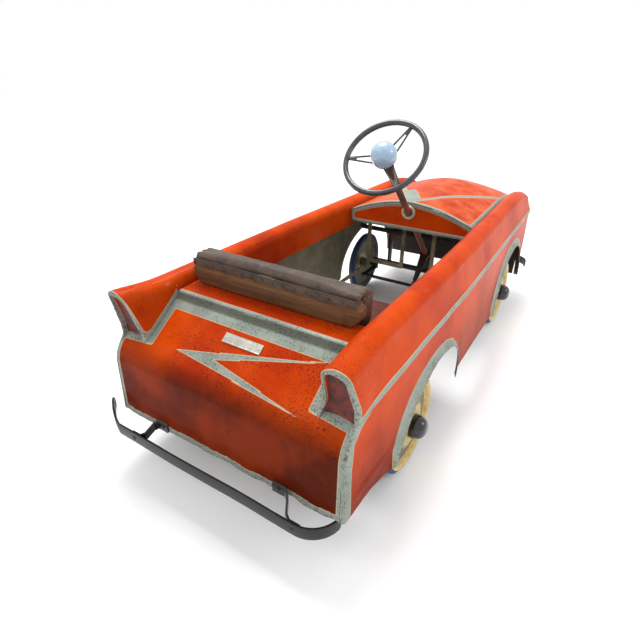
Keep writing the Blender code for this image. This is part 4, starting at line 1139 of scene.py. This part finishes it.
DARK_METAL = aged("dark_frame", colour(52, 44, 36), colour(34, 28, 24), colour(88, 60, 40), 0.5)
STEEL = aged("worn_steel", colour(120, 110, 92), colour(84, 72, 56), colour(92, 54, 34), 0.42, 0.7)
BLACK = aged(
    "black_enamel", colour(13, 13, 15), colour(24, 23, 24), colour(74, 66, 58), 0.34, 0, 0.3, 0.3
)
PLATED = aged(
    "dull_plate", colour(190, 190, 180), colour(150, 148, 134), colour(110, 84, 60), 0.3, 0.8
)
ROD_PAINT = aged(
    "rod_paint", colour(132, 124, 100), colour(96, 86, 66), colour(70, 50, 34), 0.5, 0.2
)
PRIMER_METAL = aged(
    "olive_metal", colour(108, 100, 78), colour(78, 70, 54), colour(64, 46, 32), 0.6
)
FINISHES = {
    "front_frame": DARK_METAL, "seat_rail": DARK_METAL, "seat_cross": DARK_METAL,
    "column_bearing": DARK_METAL, "front_axle_beam": DARK_METAL, "steering_knuckle": DARK_METAL,
    "rear_hanger": PRIMER_METAL, "rear_axle": STEEL, "crank_arm": DARK_METAL, "tie_rod": DARK_METAL,
    "column_arm": DARK_METAL, "push_rod": ROD_PAINT, "pedal_pivot": STEEL, "pedal": ROD_PAINT,
    "backrest_strap": STEEL, "headlamp": PLATED, "front_bumper_bracket": BLACK,
    "rear_bumper_bracket": BLACK,
}
for name, obj in nodes.items():
    for start, finish in FINISHES.items():
        if name.startswith(start):
            obj.data.materials.clear()
            obj.data.materials.append(finish)
            if start not in ("headlamp", "rear_axle", "pedal_pivot"):
                ease = obj.modifiers.new("ease", "BEVEL")
                ease.width = 0.0006
                ease.segments = 2
                ease.limit_method = "ANGLE"
                ease.angle_limit = math.radians(50)
            break
print("finished the solids that keep their shape")

# %% [markdown]
# ## Nose panel
#
# The nose closes the front between the rails. It leans back, its top follows the hood and
# the two rails, and five rows of slots make its grille. Its back is bare and rusty, and is
# painted darker for the shade under the hood.

# %% Nose panel
NOSE_FOOT_Y = -0.494
NOSE_LEAN = 0.062 / 0.238
NOSE_HALF_WIDTH = NOSE_HALF - 0.0075
NOSE_FOOT_Z = 0.064


def nose_top(x):
    """Height of the nose under the hood and the rails."""
    inner = rail_inner(NOSE_TOP_Y)
    if abs(x) < inner - 0.003:
        return hood_z(x / (inner - 0.0024), -0.545) - 0.0025
    across = (abs(x) - inner - RAIL_RADIUS) / (RAIL_RADIUS - 0.001)
    rail = RAIL_TOP - DROOP - RAIL_RADIUS
    crown = (RAIL_RADIUS - 0.006) * math.sqrt(max(1 - across**2, 0.0)) * (abs(across) < 1)
    return rail + crown - 0.03 * max(across - 1, 0)


def nose_shape(u, v):
    x = NOSE_HALF_WIDTH * (2 * u - 1)
    z = NOSE_FOOT_Z + (nose_top(x) - NOSE_FOOT_Z) * v
    y = NOSE_FOOT_Y - (z - NOSE_FOOT_Z) * NOSE_LEAN
    swell = 0.0030 * math.sin(math.pi * u) * math.sin(math.pi * v)
    return (x, y - swell + 0.0006 * ripple((x, y, z), 12), z)


SLOT_ROWS = 5
SLOT_WIDTH = 0.094
SLOT_HEIGHT = 0.0088
nose_panel = walled(sheet("nose_panel", 132, 72, nose_shape))
for row in range(SLOT_ROWS):
    up_the_lean = 0.082 + 0.020 * row
    z = 0.062 + up_the_lean * 0.968
    for low_x in (0.006, -0.100):
        high = (low_x + SLOT_WIDTH, -0.48, z + SLOT_HEIGHT)
        cut(nose_panel, block("slot", (low_x, -0.62, z), high, 0.003))
points = points_of(nose_panel)
tops = np.array([nose_top(x) for x in points[:, 0]])
from_sides = NOSE_HALF_WIDTH - np.abs(points[:, 0])
edge = np.minimum.reduce([from_sides, points[:, 2] - NOSE_FOOT_Z, tops - points[:, 2]])
# Painted shade: the nose darkens towards its foot.
write_attributes(
    nose_panel,
    trim=edge - 0.008,
    grime=0.7 * (1 - rise(edge, 0.0, 0.008)),
    groove=0.0,
    dusk=0.25 * (1 - rise(points[:, 2], 0.07, 0.14)),
)
# The nose's back gets the dark frame finish: rust, and painted shade under the hood.
finish_panel(nose_panel, ENAMEL_DASH, "front_panel", DARK_METAL)
print("nose with", 2 * SLOT_ROWS, "slots")

# %% [markdown]
# ## Wheels
#
# Each wheel is a pressed disc with a thin solid tyre and a domed black cap. All three are
# turned shapes, so a profile is spun round the axle. The four wheels share their profiles.

# %% Wheel finishes
RADIUS = 0.088
RIM = RADIUS - 0.0145
WHEELS = [
    ("rear_left", 1, 0.2087, 0.327, "rear_left_wheel"),
    ("rear_right", -1, 0.2087, 0.327, "rear_drive"),
    ("front_left", 1, 0.1980, -0.285, "front_left_wheel"),
    ("front_right", -1, 0.1980, -0.285, "front_right_wheel"),
]


def disc_finish():
    """Cream enamel, browned towards the hub and the rim, over an olive back."""
    face = Finish("wheel_cream", Coat_Weight=0.2, Coat_Roughness=0.2)
    radius = face.attribute("radius")
    behind = face.attribute("behind")
    stain = face.noise(30, 5, 0.7)
    fine = face.noise(240, 5, 0.7)
    base = face.mix(stain.step(0.3, 0.7), colour(206, 182, 104), colour(184, 156, 84))
    hub = 1 - radius.step(0.016, 0.040)
    edge = radius.step(0.060, 0.067) * (1 - radius.step(0.070, 0.075))
    brown = (hub * 0.7 + edge * 0.5 + fine.step(0.5, 0.7) * 0.5) * fine.step(0.36, 0.62)
    base = face.mix(brown.least(1) * 0.85, base, colour(112, 78, 38))
    base = face.mix(fine.step(0.64, 0.7) * 0.8, base, colour(66, 46, 28))
    olive = face.mix(stain.step(0.3, 0.7), colour(112, 104, 80), colour(78, 70, 52))
    face.feed(Base_Color=face.mix(behind, base, olive), Roughness=0.36 + fine * 0.2 + behind * 0.2)
    return face.feed(Normal=face.bump(fine + stain * 0.5, 0.0006, 0.5))


def rubber_finish():
    rubber = Finish("blue_rubber")
    stain = rubber.noise(60, 5, 0.7)
    fine = rubber.noise(420, 3, 0.6)
    tread = rubber.attribute("radius").step(RADIUS - 0.0012, RADIUS - 0.0002)
    tone = rubber.mix(stain.step(0.35, 0.7), colour(28, 50, 104), colour(46, 66, 112))
    tone = rubber.mix((tread * 0.6 + fine.step(0.6, 0.7) * 0.3).least(1), tone, colour(74, 76, 84))
    rubber.feed(Base_Color=tone, Roughness=0.5 + stain * 0.25)
    return rubber.feed(Normal=rubber.bump(fine + stain, 0.0005, 0.6))


CREAM = disc_finish()
RUBBER = rubber_finish()
CAP = aged(
    "cap_black", colour(14, 14, 17), colour(26, 26, 30), colour(60, 54, 48), 0.16, 0, 0.25, 0.6
)

# %% Profiles of a wheel, spun at four places
bore = 0.0054
disc_outline = [(0.0120, bore), (0.0120, 0.0100), (0.0108, 0.0118), (0.0100, 0.0150)]
disc_outline += [(0.0096, 0.0240), (0.0088, 0.0340), (0.0072, 0.0440), (0.0048, 0.0540)]
disc_outline += [(0.0026, 0.0610), (0.0020, 0.0650), (0.0030, 0.0685), (0.0062, 0.0715)]
disc_outline += [(0.0086, 0.0745), (0.0098, 0.0775), (0.0098, 0.0796), (0.0086, 0.0806)]
disc_outline += [(0.0075, 0.0800), (0.0073, 0.0770), (0.0066, RIM), (0.0060, RIM - 0.0003)]
disc_outline += [(-0.0060, RIM - 0.0003), (-0.0066, 0.0720), (-0.0058, 0.0706), (-0.0012, 0.0690)]
disc_outline += [(-0.0006, 0.0650), (0.0006, 0.0600), (0.0032, 0.0530), (0.0060, 0.0420)]
disc_outline += [(0.0074, 0.0320), (0.0080, 0.0200), (0.0076, 0.0116), (-0.0074, 0.0108)]
disc_outline += [(-0.0080, 0.0100), (-0.0080, bore)]
tyre_outline = [(0.0064, RIM), (0.0070, RIM + 0.004), (0.0070, RADIUS - 0.006)]
tyre_outline += [(0.0062, RADIUS - 0.0030), (0.0046, RADIUS - 0.0008), (0.0022, RADIUS)]
tyre_outline += [(-height, radius) for height, radius in reversed(tyre_outline)]
cap_outline = [(0.0350, 0.0), (0.0349, 0.0040), (0.0342, 0.0085), (0.0322, 0.0130)]
cap_outline += [(0.0288, 0.0168), (0.0240, 0.0194), (0.0185, 0.0206), (0.0128, 0.0210)]
cap_outline += [(0.0108, 0.0209), (0.0104, 0.0198), (0.0190, 0.0192), (0.0275, 0.0150)]
cap_outline += [(0.0330, 0.0)]
PARTS = [("wheel_disc", disc_outline, CREAM, "cream_paint", 112)]
PARTS += [("tyre", tyre_outline, RUBBER, "blue_rubber", 128)]
PARTS += [("hubcap", cap_outline, CAP, "black_paint", 64)]
for kind, outline, finish, slot, steps in PARTS:
    for where, sign, track, axle_y, body in WHEELS:
        centre = (sign * track, axle_y, RADIUS)
        piece = turned(f"{kind}_{where}_skin", outline, steps, centre, (sign, 0, 0))
        points = points_of(piece)
        reach = np.hypot(points[:, 1] - axle_y, points[:, 2] - RADIUS)
        height = sign * (points[:, 0] - sign * track)
        behind = (height < np.where(reach > 0.065, 0.0, 0.0076)) * 1.0
        write_attributes(piece, radius=reach, behind=behind)
        finish_piece(piece, finish, body, f"{kind}_{where}", slot=slot)
print("four wheels of", len(PARTS), "pieces each")

# %% [markdown]
# ## Steering wheel and column
#
# The thin moulded rim hangs on three pairs of wires. Each pair meets at a small web under
# the rim. The hub carries a light blue ball, and a dark sleeve covers the column's top.

# %% A frame that runs up the column
COLUMN_PERP = Vector((0, math.cos(COLUMN_TILT), -math.sin(COLUMN_TILT)))


def on_wheel(radius, degrees, height=0.0, across=0.0):
    """A point in the steering wheel's plane, by radius and angle, raised along the column."""
    angle = math.radians(degrees)
    x = radius * math.cos(angle) - across * math.sin(angle)
    y = radius * math.sin(angle) + across * math.cos(angle)
    return WHEEL_CENTRE + Vector((1, 0, 0)) * x + COLUMN_PERP * y + COLUMN_UP * height


# %% Rim, spokes and hub
start_piece()
bpy.ops.mesh.primitive_torus_add(
    major_radius=0.0821, minor_radius=0.0057, major_segments=128, minor_segments=20
)
rim = named("wheel_rim")
rim.matrix_world = Matrix(
    (
        (1, COLUMN_PERP.x, COLUMN_UP.x, WHEEL_CENTRE.x),
        (0, COLUMN_PERP.y, COLUMN_UP.y, WHEEL_CENTRE.y),
        (0, COLUMN_PERP.z, COLUMN_UP.z, WHEEL_CENTRE.z),
        (0, 0, 0, 1),
    )
)
settle(rim)
GREY_RIM = aged(
    "rim_grey", colour(58, 62, 66), colour(42, 46, 50), colour(96, 96, 92), 0.24, 0, 0.35, 0.5
)
finish_piece(smooth(rim, 60), GREY_RIM, "steering", "steering_rim", slot="rim_plastic")

hub_outline = [(-0.0046, 0.0), (-0.0046, 0.0150), (-0.0056, 0.0166), (-0.0090, 0.0166)]
hub_outline += [(-0.0104, 0.0150), (-0.0104, 0.0080), (-0.0104, 0.0)]
spokes = [turned("steering_wires", hub_outline, 48, WHEEL_CENTRE, COLUMN_UP)]
for degrees in (8, 128, 248):
    for hand in (1, -1):
        path = [on_wheel(0.0085, degrees, -0.0076, hand * 0.0105)]
        path += [on_wheel(0.040, degrees, -0.0048, hand * 0.0068)]
        path += [on_wheel(0.0775, degrees, -0.0012, hand * 0.0020)]
        spokes.append(bar("wire", path, 0.0018, 10, 14))
    web = [on_wheel(0.0615, degrees, -0.0026), on_wheel(0.0785, degrees, -0.0010)]
    spokes.append(bar("web", web, 0.0024, 10, 6))
wires = join("steering_wires", *spokes)
WIRE_PAINT = aged(
    "wire_grey", colour(84, 84, 78), colour(58, 56, 50), colour(74, 56, 40), 0.36, 0.3
)
finish_piece(wires, WIRE_PAINT, "steering", "steering_spokes", slot="worn_steel")


# %% Ball and column
def glossy_blue():
    """Light blue plastic, a little clouded and chipped."""
    gloss = Finish("ball_blue", Coat_Weight=0.8, Coat_Roughness=0.06, Subsurface_Weight=0.05)
    cloud = gloss.noise(40, 4, 0.6)
    fine = gloss.noise(300, 3)
    tone = gloss.mix(cloud.step(0.3, 0.7), colour(158, 186, 208), colour(144, 172, 196))
    tone = gloss.mix(fine.step(0.66, 0.72) * 0.5, tone, colour(108, 118, 124))
    gloss.feed(Base_Color=tone, Roughness=0.16 + cloud * 0.1)
    return gloss.feed(Normal=gloss.bump(cloud, 0.0004, 0.2))


def rusty_shaft():
    """Brown rust, reddish where the column meets the dash and dark under the hub."""
    rust = Finish("column_rusty")
    height = rust.axis("Z")
    cloud = rust.noise(60, 5, 0.7)
    fine = rust.noise(420, 4, 0.6)
    tone = rust.mix(cloud.step(0.36, 0.64), colour(92, 62, 44), colour(66, 48, 38))
    tone = rust.mix(height.step(0.33, 0.35) * -1 + 1, tone, colour(140, 62, 40))
    tone = rust.mix(height.step(0.425, 0.438), tone, colour(34, 26, 22))
    tone = rust.mix(fine.step(0.58, 0.66) * 0.5, tone, colour(130, 108, 84))
    rust.feed(Base_Color=tone, Roughness=0.42 + cloud * 0.3)
    return rust.feed(Normal=rust.bump(fine + cloud, 0.0005, 0.6))


ball_outline = []
for step in range(15):
    angle = math.radians(90 - step * 8.4)
    ball_outline.append((0.006 + 0.0265 * math.sin(angle), 0.0265 * math.cos(angle)))
ball_outline += [(-0.0040, 0.0236), (-0.0040, 0.0)]
ball_outline[0] = (0.0325, 0.0)
ball = turned("hub_ball", ball_outline, 72, WHEEL_CENTRE, COLUMN_UP)
finish_piece(ball, glossy_blue(), "steering", "steering_hub_ball", slot="light_blue_plastic")

column_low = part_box("steering_column")[0]
foot_reach = (WHEEL_CENTRE.y - column_low.y - 0.0075 * math.cos(COLUMN_TILT)) / COLUMN_UP.y
column_foot = WHEEL_CENTRE - COLUMN_UP * foot_reach
SHAFT = 0.0073
shaft_outline = [(0.0, 0.0), (0.0, SHAFT - 0.001), (0.001, SHAFT)]
for height, radius in ((-0.110, SHAFT), (-0.100, 0.0084), (-0.060, 0.0092), (-0.024, 0.0098)):
    shaft_outline.append((foot_reach + height, radius))
shaft_outline += [(foot_reach - 0.0200, 0.0120), (foot_reach - 0.0110, 0.0126)]
shaft_outline += [(foot_reach - 0.0106, 0.0)]
shaft = turned("column_shaft", shaft_outline, 40, column_foot, COLUMN_UP)
finish_piece(shaft, rusty_shaft(), "steering", "steering_column", slot="worn_steel")

# %% Ring on the dash
ring_low, ring_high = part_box("dash_boss")
ring_centre = Vector((0, ring_low.y, (ring_low.z + ring_high.z) / 2))
ring_outline = [(0.0, 0.0092), (0.0, 0.0170), (0.0022, 0.0172), (0.0042, 0.0160)]
ring_outline += [(0.0052, 0.0140), (0.0048, 0.0118), (0.0036, 0.0104), (0.0026, 0.0092)]
ring = turned("dash_ring", ring_outline, 56, ring_centre, (0, 1, 0))
RING = aged(
    "ring_cream", colour(196, 192, 170), colour(160, 156, 134), colour(104, 74, 50), 0.36, 0.2, 0.7
)
finish_piece(ring, RING, "body", "dash_boss", slot="plate_metal")
print("steering wheel centre", [round(value, 4) for value in WHEEL_CENTRE])

# %% [markdown]
# ## Seat and backrest
#
# Both boards are solid wood. The backrest's pad is leather stretched over stuffing and
# nailed down: it starts as a slightly small block, and a short cloth simulation with air
# pressure swells it between its nails. Pleats and nails come after that.

# %% Wood
def wood(name, pale_tone, dark_tone, dirt_tone, grain=(1.2, 26, 26), rough=0.55):
    timber = Finish(name, Specular_IOR_Level=0.3)
    rings = timber.noise(5.5, 5, 0.65, stretch=grain, distortion=0.6)
    fibre = timber.noise(30, 5, 0.7, stretch=(0.6, 12, 12))
    dirt = timber.noise(16, 5, 0.65)
    tone = timber.mix(rings.step(0.35, 0.65), pale_tone, dark_tone)
    tone = timber.mix(fibre.step(0.52, 0.7) * 0.6, tone, dirt_tone)
    tone = timber.mix(dirt.step(0.5, 0.75) * 0.7, tone, dirt_tone)
    timber.feed(Base_Color=tone, Roughness=rough + fibre * 0.25)
    return timber.feed(Normal=timber.bump(fibre * 0.7 + rings * 0.3, 0.0008, 0.6))


BOARD_WOOD = wood("board_wood", colour(112, 76, 44), colour(82, 54, 32), colour(46, 30, 20))
SEAT_WOOD = wood(
    "seat_wood", colour(116, 62, 46), colour(92, 48, 38), colour(58, 34, 28), (24, 1.2, 24)
)

# %% Boards
board_low, board_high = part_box("backrest_board")
board = pick(block("backrest_wood", board_low, board_high))
bpy.ops.object.mode_set(mode="EDIT")
bpy.ops.mesh.select_mode(type="EDGE")
bpy.ops.mesh.select_all(action="DESELECT")
bpy.ops.object.mode_set(mode="OBJECT")
for edge in board.data.edges:
    first, second = (board.data.vertices[index].co for index in edge.vertices)
    edge.select = abs(first.x - second.x) < 1e-6 and abs(first.z - second.z) < 1e-6
bpy.ops.object.mode_set(mode="EDIT")
bpy.ops.mesh.bevel(offset=0.013, segments=1, affect="EDGES")
bpy.ops.object.mode_set(mode="OBJECT")
modify(board, "BEVEL", width=0.0016, segments=3, limit_method="ANGLE")
finish_piece(smooth(board), BOARD_WOOD, "body", "backrest_board", slot="wood")

seat = block("seat_wood", seat_low, seat_high, 0.003, 4)
modify(seat, "SUBSURF", levels=3, render_levels=3, subdivision_type="SIMPLE")
place_points(seat, lambda co: co + Vector((0, 0, 0.0006 * ripple(co, 20))))
finish_piece(smooth(seat), SEAT_WOOD, "body", "seat_board", slot="wood")
print("boards done")


# %% Leather
def leather():
    """Brown leather, greyed in rubbed patches, cracked and creased."""
    hide = Finish("worn_leather", Specular_IOR_Level=0.35, Coat_Weight=0.08, Coat_Roughness=0.3)
    broad = hide.noise(17, 5, 0.65)
    crease = hide.noise(70, 5, 0.7, stretch=(0.5, 1.4, 1.4), distortion=0.8)
    cells = hide.node(
        "TexVoronoi", {"feature": "DISTANCE_TO_EDGE"}, {"Vector": hide.place, "Scale": 620.0}
    )
    cracks = 1 - cells.step(0.02, 0.12)
    fine = hide.noise(380, 4, 0.65)
    tone = hide.mix(broad.step(0.34, 0.66), colour(84, 68, 56), colour(62, 45, 38))
    tone = hide.mix(crease.step(0.55, 0.72) * 0.5, tone, colour(122, 106, 92))
    tone = hide.mix(cracks * broad.step(0.4, 0.7) * 0.5, tone, colour(44, 30, 24))
    tone = hide.mix(fine.step(0.6, 0.72) * 0.5, tone, colour(128, 112, 96))
    height = cells.step(0.0, 0.2) * 0.4 + crease + fine * 0.3
    hide.feed(Base_Color=tone, Roughness=0.44 + crease * 0.28)
    return hide.feed(Normal=hide.bump(height, 0.0008, 0.6))


LEATHER = leather()

# %% The pad, swollen by a cloth simulation
PAD_SWELL = 0.0045
BOARD_TOP_Z = 0.3395
pad_outline = [(0.4215, 0.3400), (0.4228, 0.3440), (0.4205, 0.3475), (0.4140, 0.3490)]
pad_outline += [(0.3920, 0.3490), (0.3810, 0.3455), (0.3740, 0.3380), (0.3730, 0.3260)]
pad_outline += [(0.3740, 0.2960), (0.3800, 0.2880), (0.3930, 0.2880), (0.3950, 0.2960)]
pad_outline += [(0.3950, 0.3400)]
pad = extruded("backrest_leather", pad_outline, pad_low.x + 0.003, pad_high.x - 0.003)
modify(pad, "REMESH", mode="VOXEL", voxel_size=0.004)
rest_places = points_of(pad).copy()
cloth = pad.modifiers.new("cloth", "CLOTH")
cloth.settings.use_pressure = True
cloth.settings.uniform_pressure_force = 4
cloth.settings.effector_weights.gravity = 0
for number in range(1, 21):
    bpy.context.scene.frame_set(number)
pick(pad)
bpy.ops.object.modifier_apply(modifier=cloth.name)
bpy.context.scene.frame_set(1)


def rest_of_pad(index, co):
    """Caps how far a point may swell, and holds the pad off the board and inside its room."""
    origin = Vector(rest_places[index])
    move = co - origin
    if move.length > PAD_SWELL:
        move *= PAD_SWELL / move.length
    place = origin + move
    if origin.z < BOARD_TOP_Z:
        place.y = min(place.y, 0.3960)
    else:
        place.z = max(place.z, 0.3392)
    place.y = min(max(place.y, pad_low.y - 0.004), 0.4245)
    place.z = min(place.z, pad_high.z + 0.003)
    place.x = min(max(place.x, pad_low.x - 0.002), pad_high.x + 0.002)
    return place


def creased(co):
    """Pleats near the ends, dimples at the nails and small waves all over."""
    end = float(rise(np.float64(abs(co.x)), 0.118, 0.156))
    fold = math.sin(co.y * 520 + 2.5 * math.sin(co.x * 60)) * end * 0.0011
    top = 1.0 if co.z > BOARD_TOP_Z else 0.3
    nail = 0.0010 * float(bump(np.float64((co.x * 50) % 1 - 0.5), 0.30)) * (co.y > 0.414)
    return co + Vector((0, 0, top * fold - nail + 0.0009 * ripple(co, 34) - 0.0006))


for vertex in pad.data.vertices:
    vertex.co = rest_of_pad(vertex.index, vertex.co)
place_points(modify(pad, "SUBSURF", levels=1, render_levels=1), creased)
finish_piece(smooth(pad, 60), LEATHER, "body", "backrest_pad", slot="leather")
print("pad of", len(pad.data.vertices), "points")


# %% The leather's nailed edge on the board's rear face
def flap_shape(u, v):
    x = 0.1535 * (1 - 2 * u)
    hem = 0.3300 + 0.0012 * math.sin(x * 210) + 0.0018 * ripple((x, 0, 0), 40, 2)
    z = hem + (0.3425 - hem) * v
    nail = float(bump(np.float64((x * 50) % 1 - 0.5), 0.24)) * float(bump(np.float64(v - 0.4), 0.5))
    swell = 0.0010 * math.sin(math.pi * min(v * 1.3, 1)) - 0.0008 * nail
    y = board_high.y + 0.0011 + swell + 0.0004 * ripple((x, z, 0), 90, 1)
    return (x, y, z)


flap = sheet("leather_hem", 170, 14, flap_shape)
modify(flap, "SOLIDIFY", thickness=0.0010, offset=-1)
finish_piece(smooth(flap, 60), LEATHER, "body", slot="leather")

# %% Nails and the staple
NAIL = aged("nail_brass", colour(96, 78, 48), colour(58, 46, 34), colour(40, 30, 24), 0.4, 0.4)
nail_outline = [(0.0, 0.0), (0.0, 0.0022), (0.0006, 0.0021), (0.0013, 0.0012), (0.0015, 0.0)]
nails = []
for step in range(-7, 8):
    x = 0.01 + step * 0.020
    place = Vector((x, board_high.y + 0.0018, 0.3352 + 0.0006 * math.sin(step * 2.1)))
    nails.append(turned("nail", nail_outline, 14, place, (0, 1, 0)))
for sign in (1, -1):
    for y, z in ((0.414, 0.3445), (0.403, 0.3450), (0.392, 0.3440)):
        nails.append(turned("nail", nail_outline, 14, (sign * 0.1545, y, z - 0.006), (sign, 0, 0)))
finish_piece(join("backrest_nails", *nails), NAIL, "body", slot="plate_metal")
staple_path = [(0.014, 0.4236, 0.3432), (0.006, 0.4242, 0.3442), (-0.006, 0.4240, 0.3438)]
staple = bar("backrest_staple", staple_path + [(-0.016, 0.4234, 0.3426)], 0.0007, 8, 12)
finish_piece(staple, STEEL, "body", slot="worn_steel")
print(len(nails), "nails")

# %% [markdown]
# ## Bumpers and nameplate
#
# Both bumpers are flat black strips bent round at their ends. The rear one's left tip was
# knocked upwards long ago. A grid follows the strip's path, and its ends are rounded by
# narrowing the last few rows.

# %% Bumper strips
BUMPER_Y = 0.5948
BUMPER_Z = 0.080


def bumper_path(end):
    """Points along the strip's outer face, seen from above."""
    half, bend, y_outer = 0.172, 0.049, end * BUMPER_Y
    arc = [math.radians(4 + step * 86 / 14) for step in range(15)]
    right = [(half + bend * math.cos(a), y_outer - end * (bend - bend * math.sin(a))) for a in arc]
    left = [(-x, y) for x, y in reversed(right)]
    if end > 0:
        knocked = [(0.237, 0.570), (0.231, 0.5775), (0.222, 0.5855), (0.211, 0.5915)]
        right = knocked + [(0.200, y_outer)]
        left = [(x + 0.010, y) for x, y in left]
    return even_path(right + left, 160)


def bumper_strip(name, end, curl):
    path = bumper_path(end)

    def shape(u, v):
        spot = v * (len(path) - 1)
        x = float(np.interp(spot, range(len(path)), path[:, 0]))
        y = float(np.interp(spot, range(len(path)), path[:, 1]))
        from_end = min(v, 1 - v) * 0.53
        narrow = math.sqrt(max(1 - max(1 - from_end / 0.007, 0) ** 2, 0.02))
        lift = curl * float(rise(np.float64(x), 0.198, 0.240)) if v < 0.5 else 0
        crown = 0.0010 * (1 - (2 * u - 1) ** 2)
        z = BUMPER_Z + (u - 0.5) * 0.0215 * narrow + lift + 0.0012 * ripple((x, 0, 0), 9, 4)
        y += end * crown + 0.0010 * ripple((x, 1, 0), 7, 6)
        return (x, y, z)

    facing = (lambda u, v: shape(u, 1 - v)) if end > 0 else shape
    strip = sheet(name, 9, 200, facing)
    modify(strip, "SOLIDIFY", thickness=0.0034, offset=-1)
    modify(strip, "BEVEL", width=0.0007, segments=2, limit_method="ANGLE")
    return smooth(strip, 50)


BUMPER_BLACK = aged(
    "bumper_black", colour(12, 12, 14), colour(22, 21, 22), colour(84, 62, 48), 0.42, 0, 0.45, 0.15
)
for name, end, curl in (("rear_bumper", 1, 0.030), ("front_bumper", -1, 0.0)):
    strip = bumper_strip(name + "_strip", end, curl)
    finish_piece(strip, BUMPER_BLACK, "body", name, slot="black_paint")

# %% Bolts
bolt_outline = [(0.0, 0.0), (0.0, 0.0042), (0.0012, 0.0040), (0.0022, 0.0026), (0.0026, 0.0)]
bolts = []
for end, word in ((1, "rear"), (-1, "front")):
    for sign, side in LEFT_RIGHT:
        low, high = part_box(f"{word}_bumper_bracket_{side}")
        far = sign * 0.160
        bolts.append(turned("bolt", bolt_outline, 16, (far, end * BUMPER_Y, BUMPER_Z), (0, end, 0)))
        tab_y = high.y if end < 0 else low.y
        tab_y += end * 0.003
        tab = (sign * 0.117, tab_y, high.z - 0.007)
        bolts.append(turned("bolt", bolt_outline, 16, tab, (0, end, 0)))
finish_piece(join("bumper_bolts", *bolts), BUMPER_BLACK, "body", slot="black_paint")

# %% Nameplate, blank, with a raised edge and two rivets
slope = math.atan2(0.2355 - 0.2790, 0.532 - 0.470)
plate_place = Vector((-0.005, 0.4915, deck_z(0.4915)))
plate_turn = Matrix.Translation(plate_place) @ Matrix.Rotation(slope, 4, "X")


def plate_shape(u, v):
    x, y = 0.071 * (u - 0.5), 0.0156 * (v - 0.5)
    inset = min(0.0355 - abs(x), 0.0078 - abs(y))
    ledge = 0.0005 * float(1 - rise(np.float64(inset), 0.0010, 0.0016))
    panel = 0.0004 * float(rise(np.float64(inset), 0.0028, 0.0034)) * (abs(x) < 0.0255)
    bend = 0.0004 * ripple((x, y, 0), 40, 3)
    return (x, y, 0.0012 + ledge + panel + bend)


badge = sheet("nameplate_blank", 130, 34, plate_shape)
modify(badge, "SOLIDIFY", thickness=0.0009, offset=-1)
rivet_outline = [(0, 0), (0, 0.0020), (0.0008, 0.0017), (0.0014, 0)]
rivets = []
for sign in (1, -1):
    place = (sign * 0.0300, 0, 0.0012)
    rivets.append(turned("rivet", rivet_outline, 16, place, (0, 0, 1)))
badge = join("nameplate_blank", badge, *rivets)
badge.matrix_world = plate_turn
settle(badge)
BADGE = aged(
    "badge_silver", colour(206, 204, 196), colour(176, 174, 162), colour(96, 84, 66), 0.3, 0.7, 0.5
)
finish_piece(smooth(badge), BADGE, "body", "nameplate", slot="plate_metal")
print("bumpers, bolts and nameplate done")
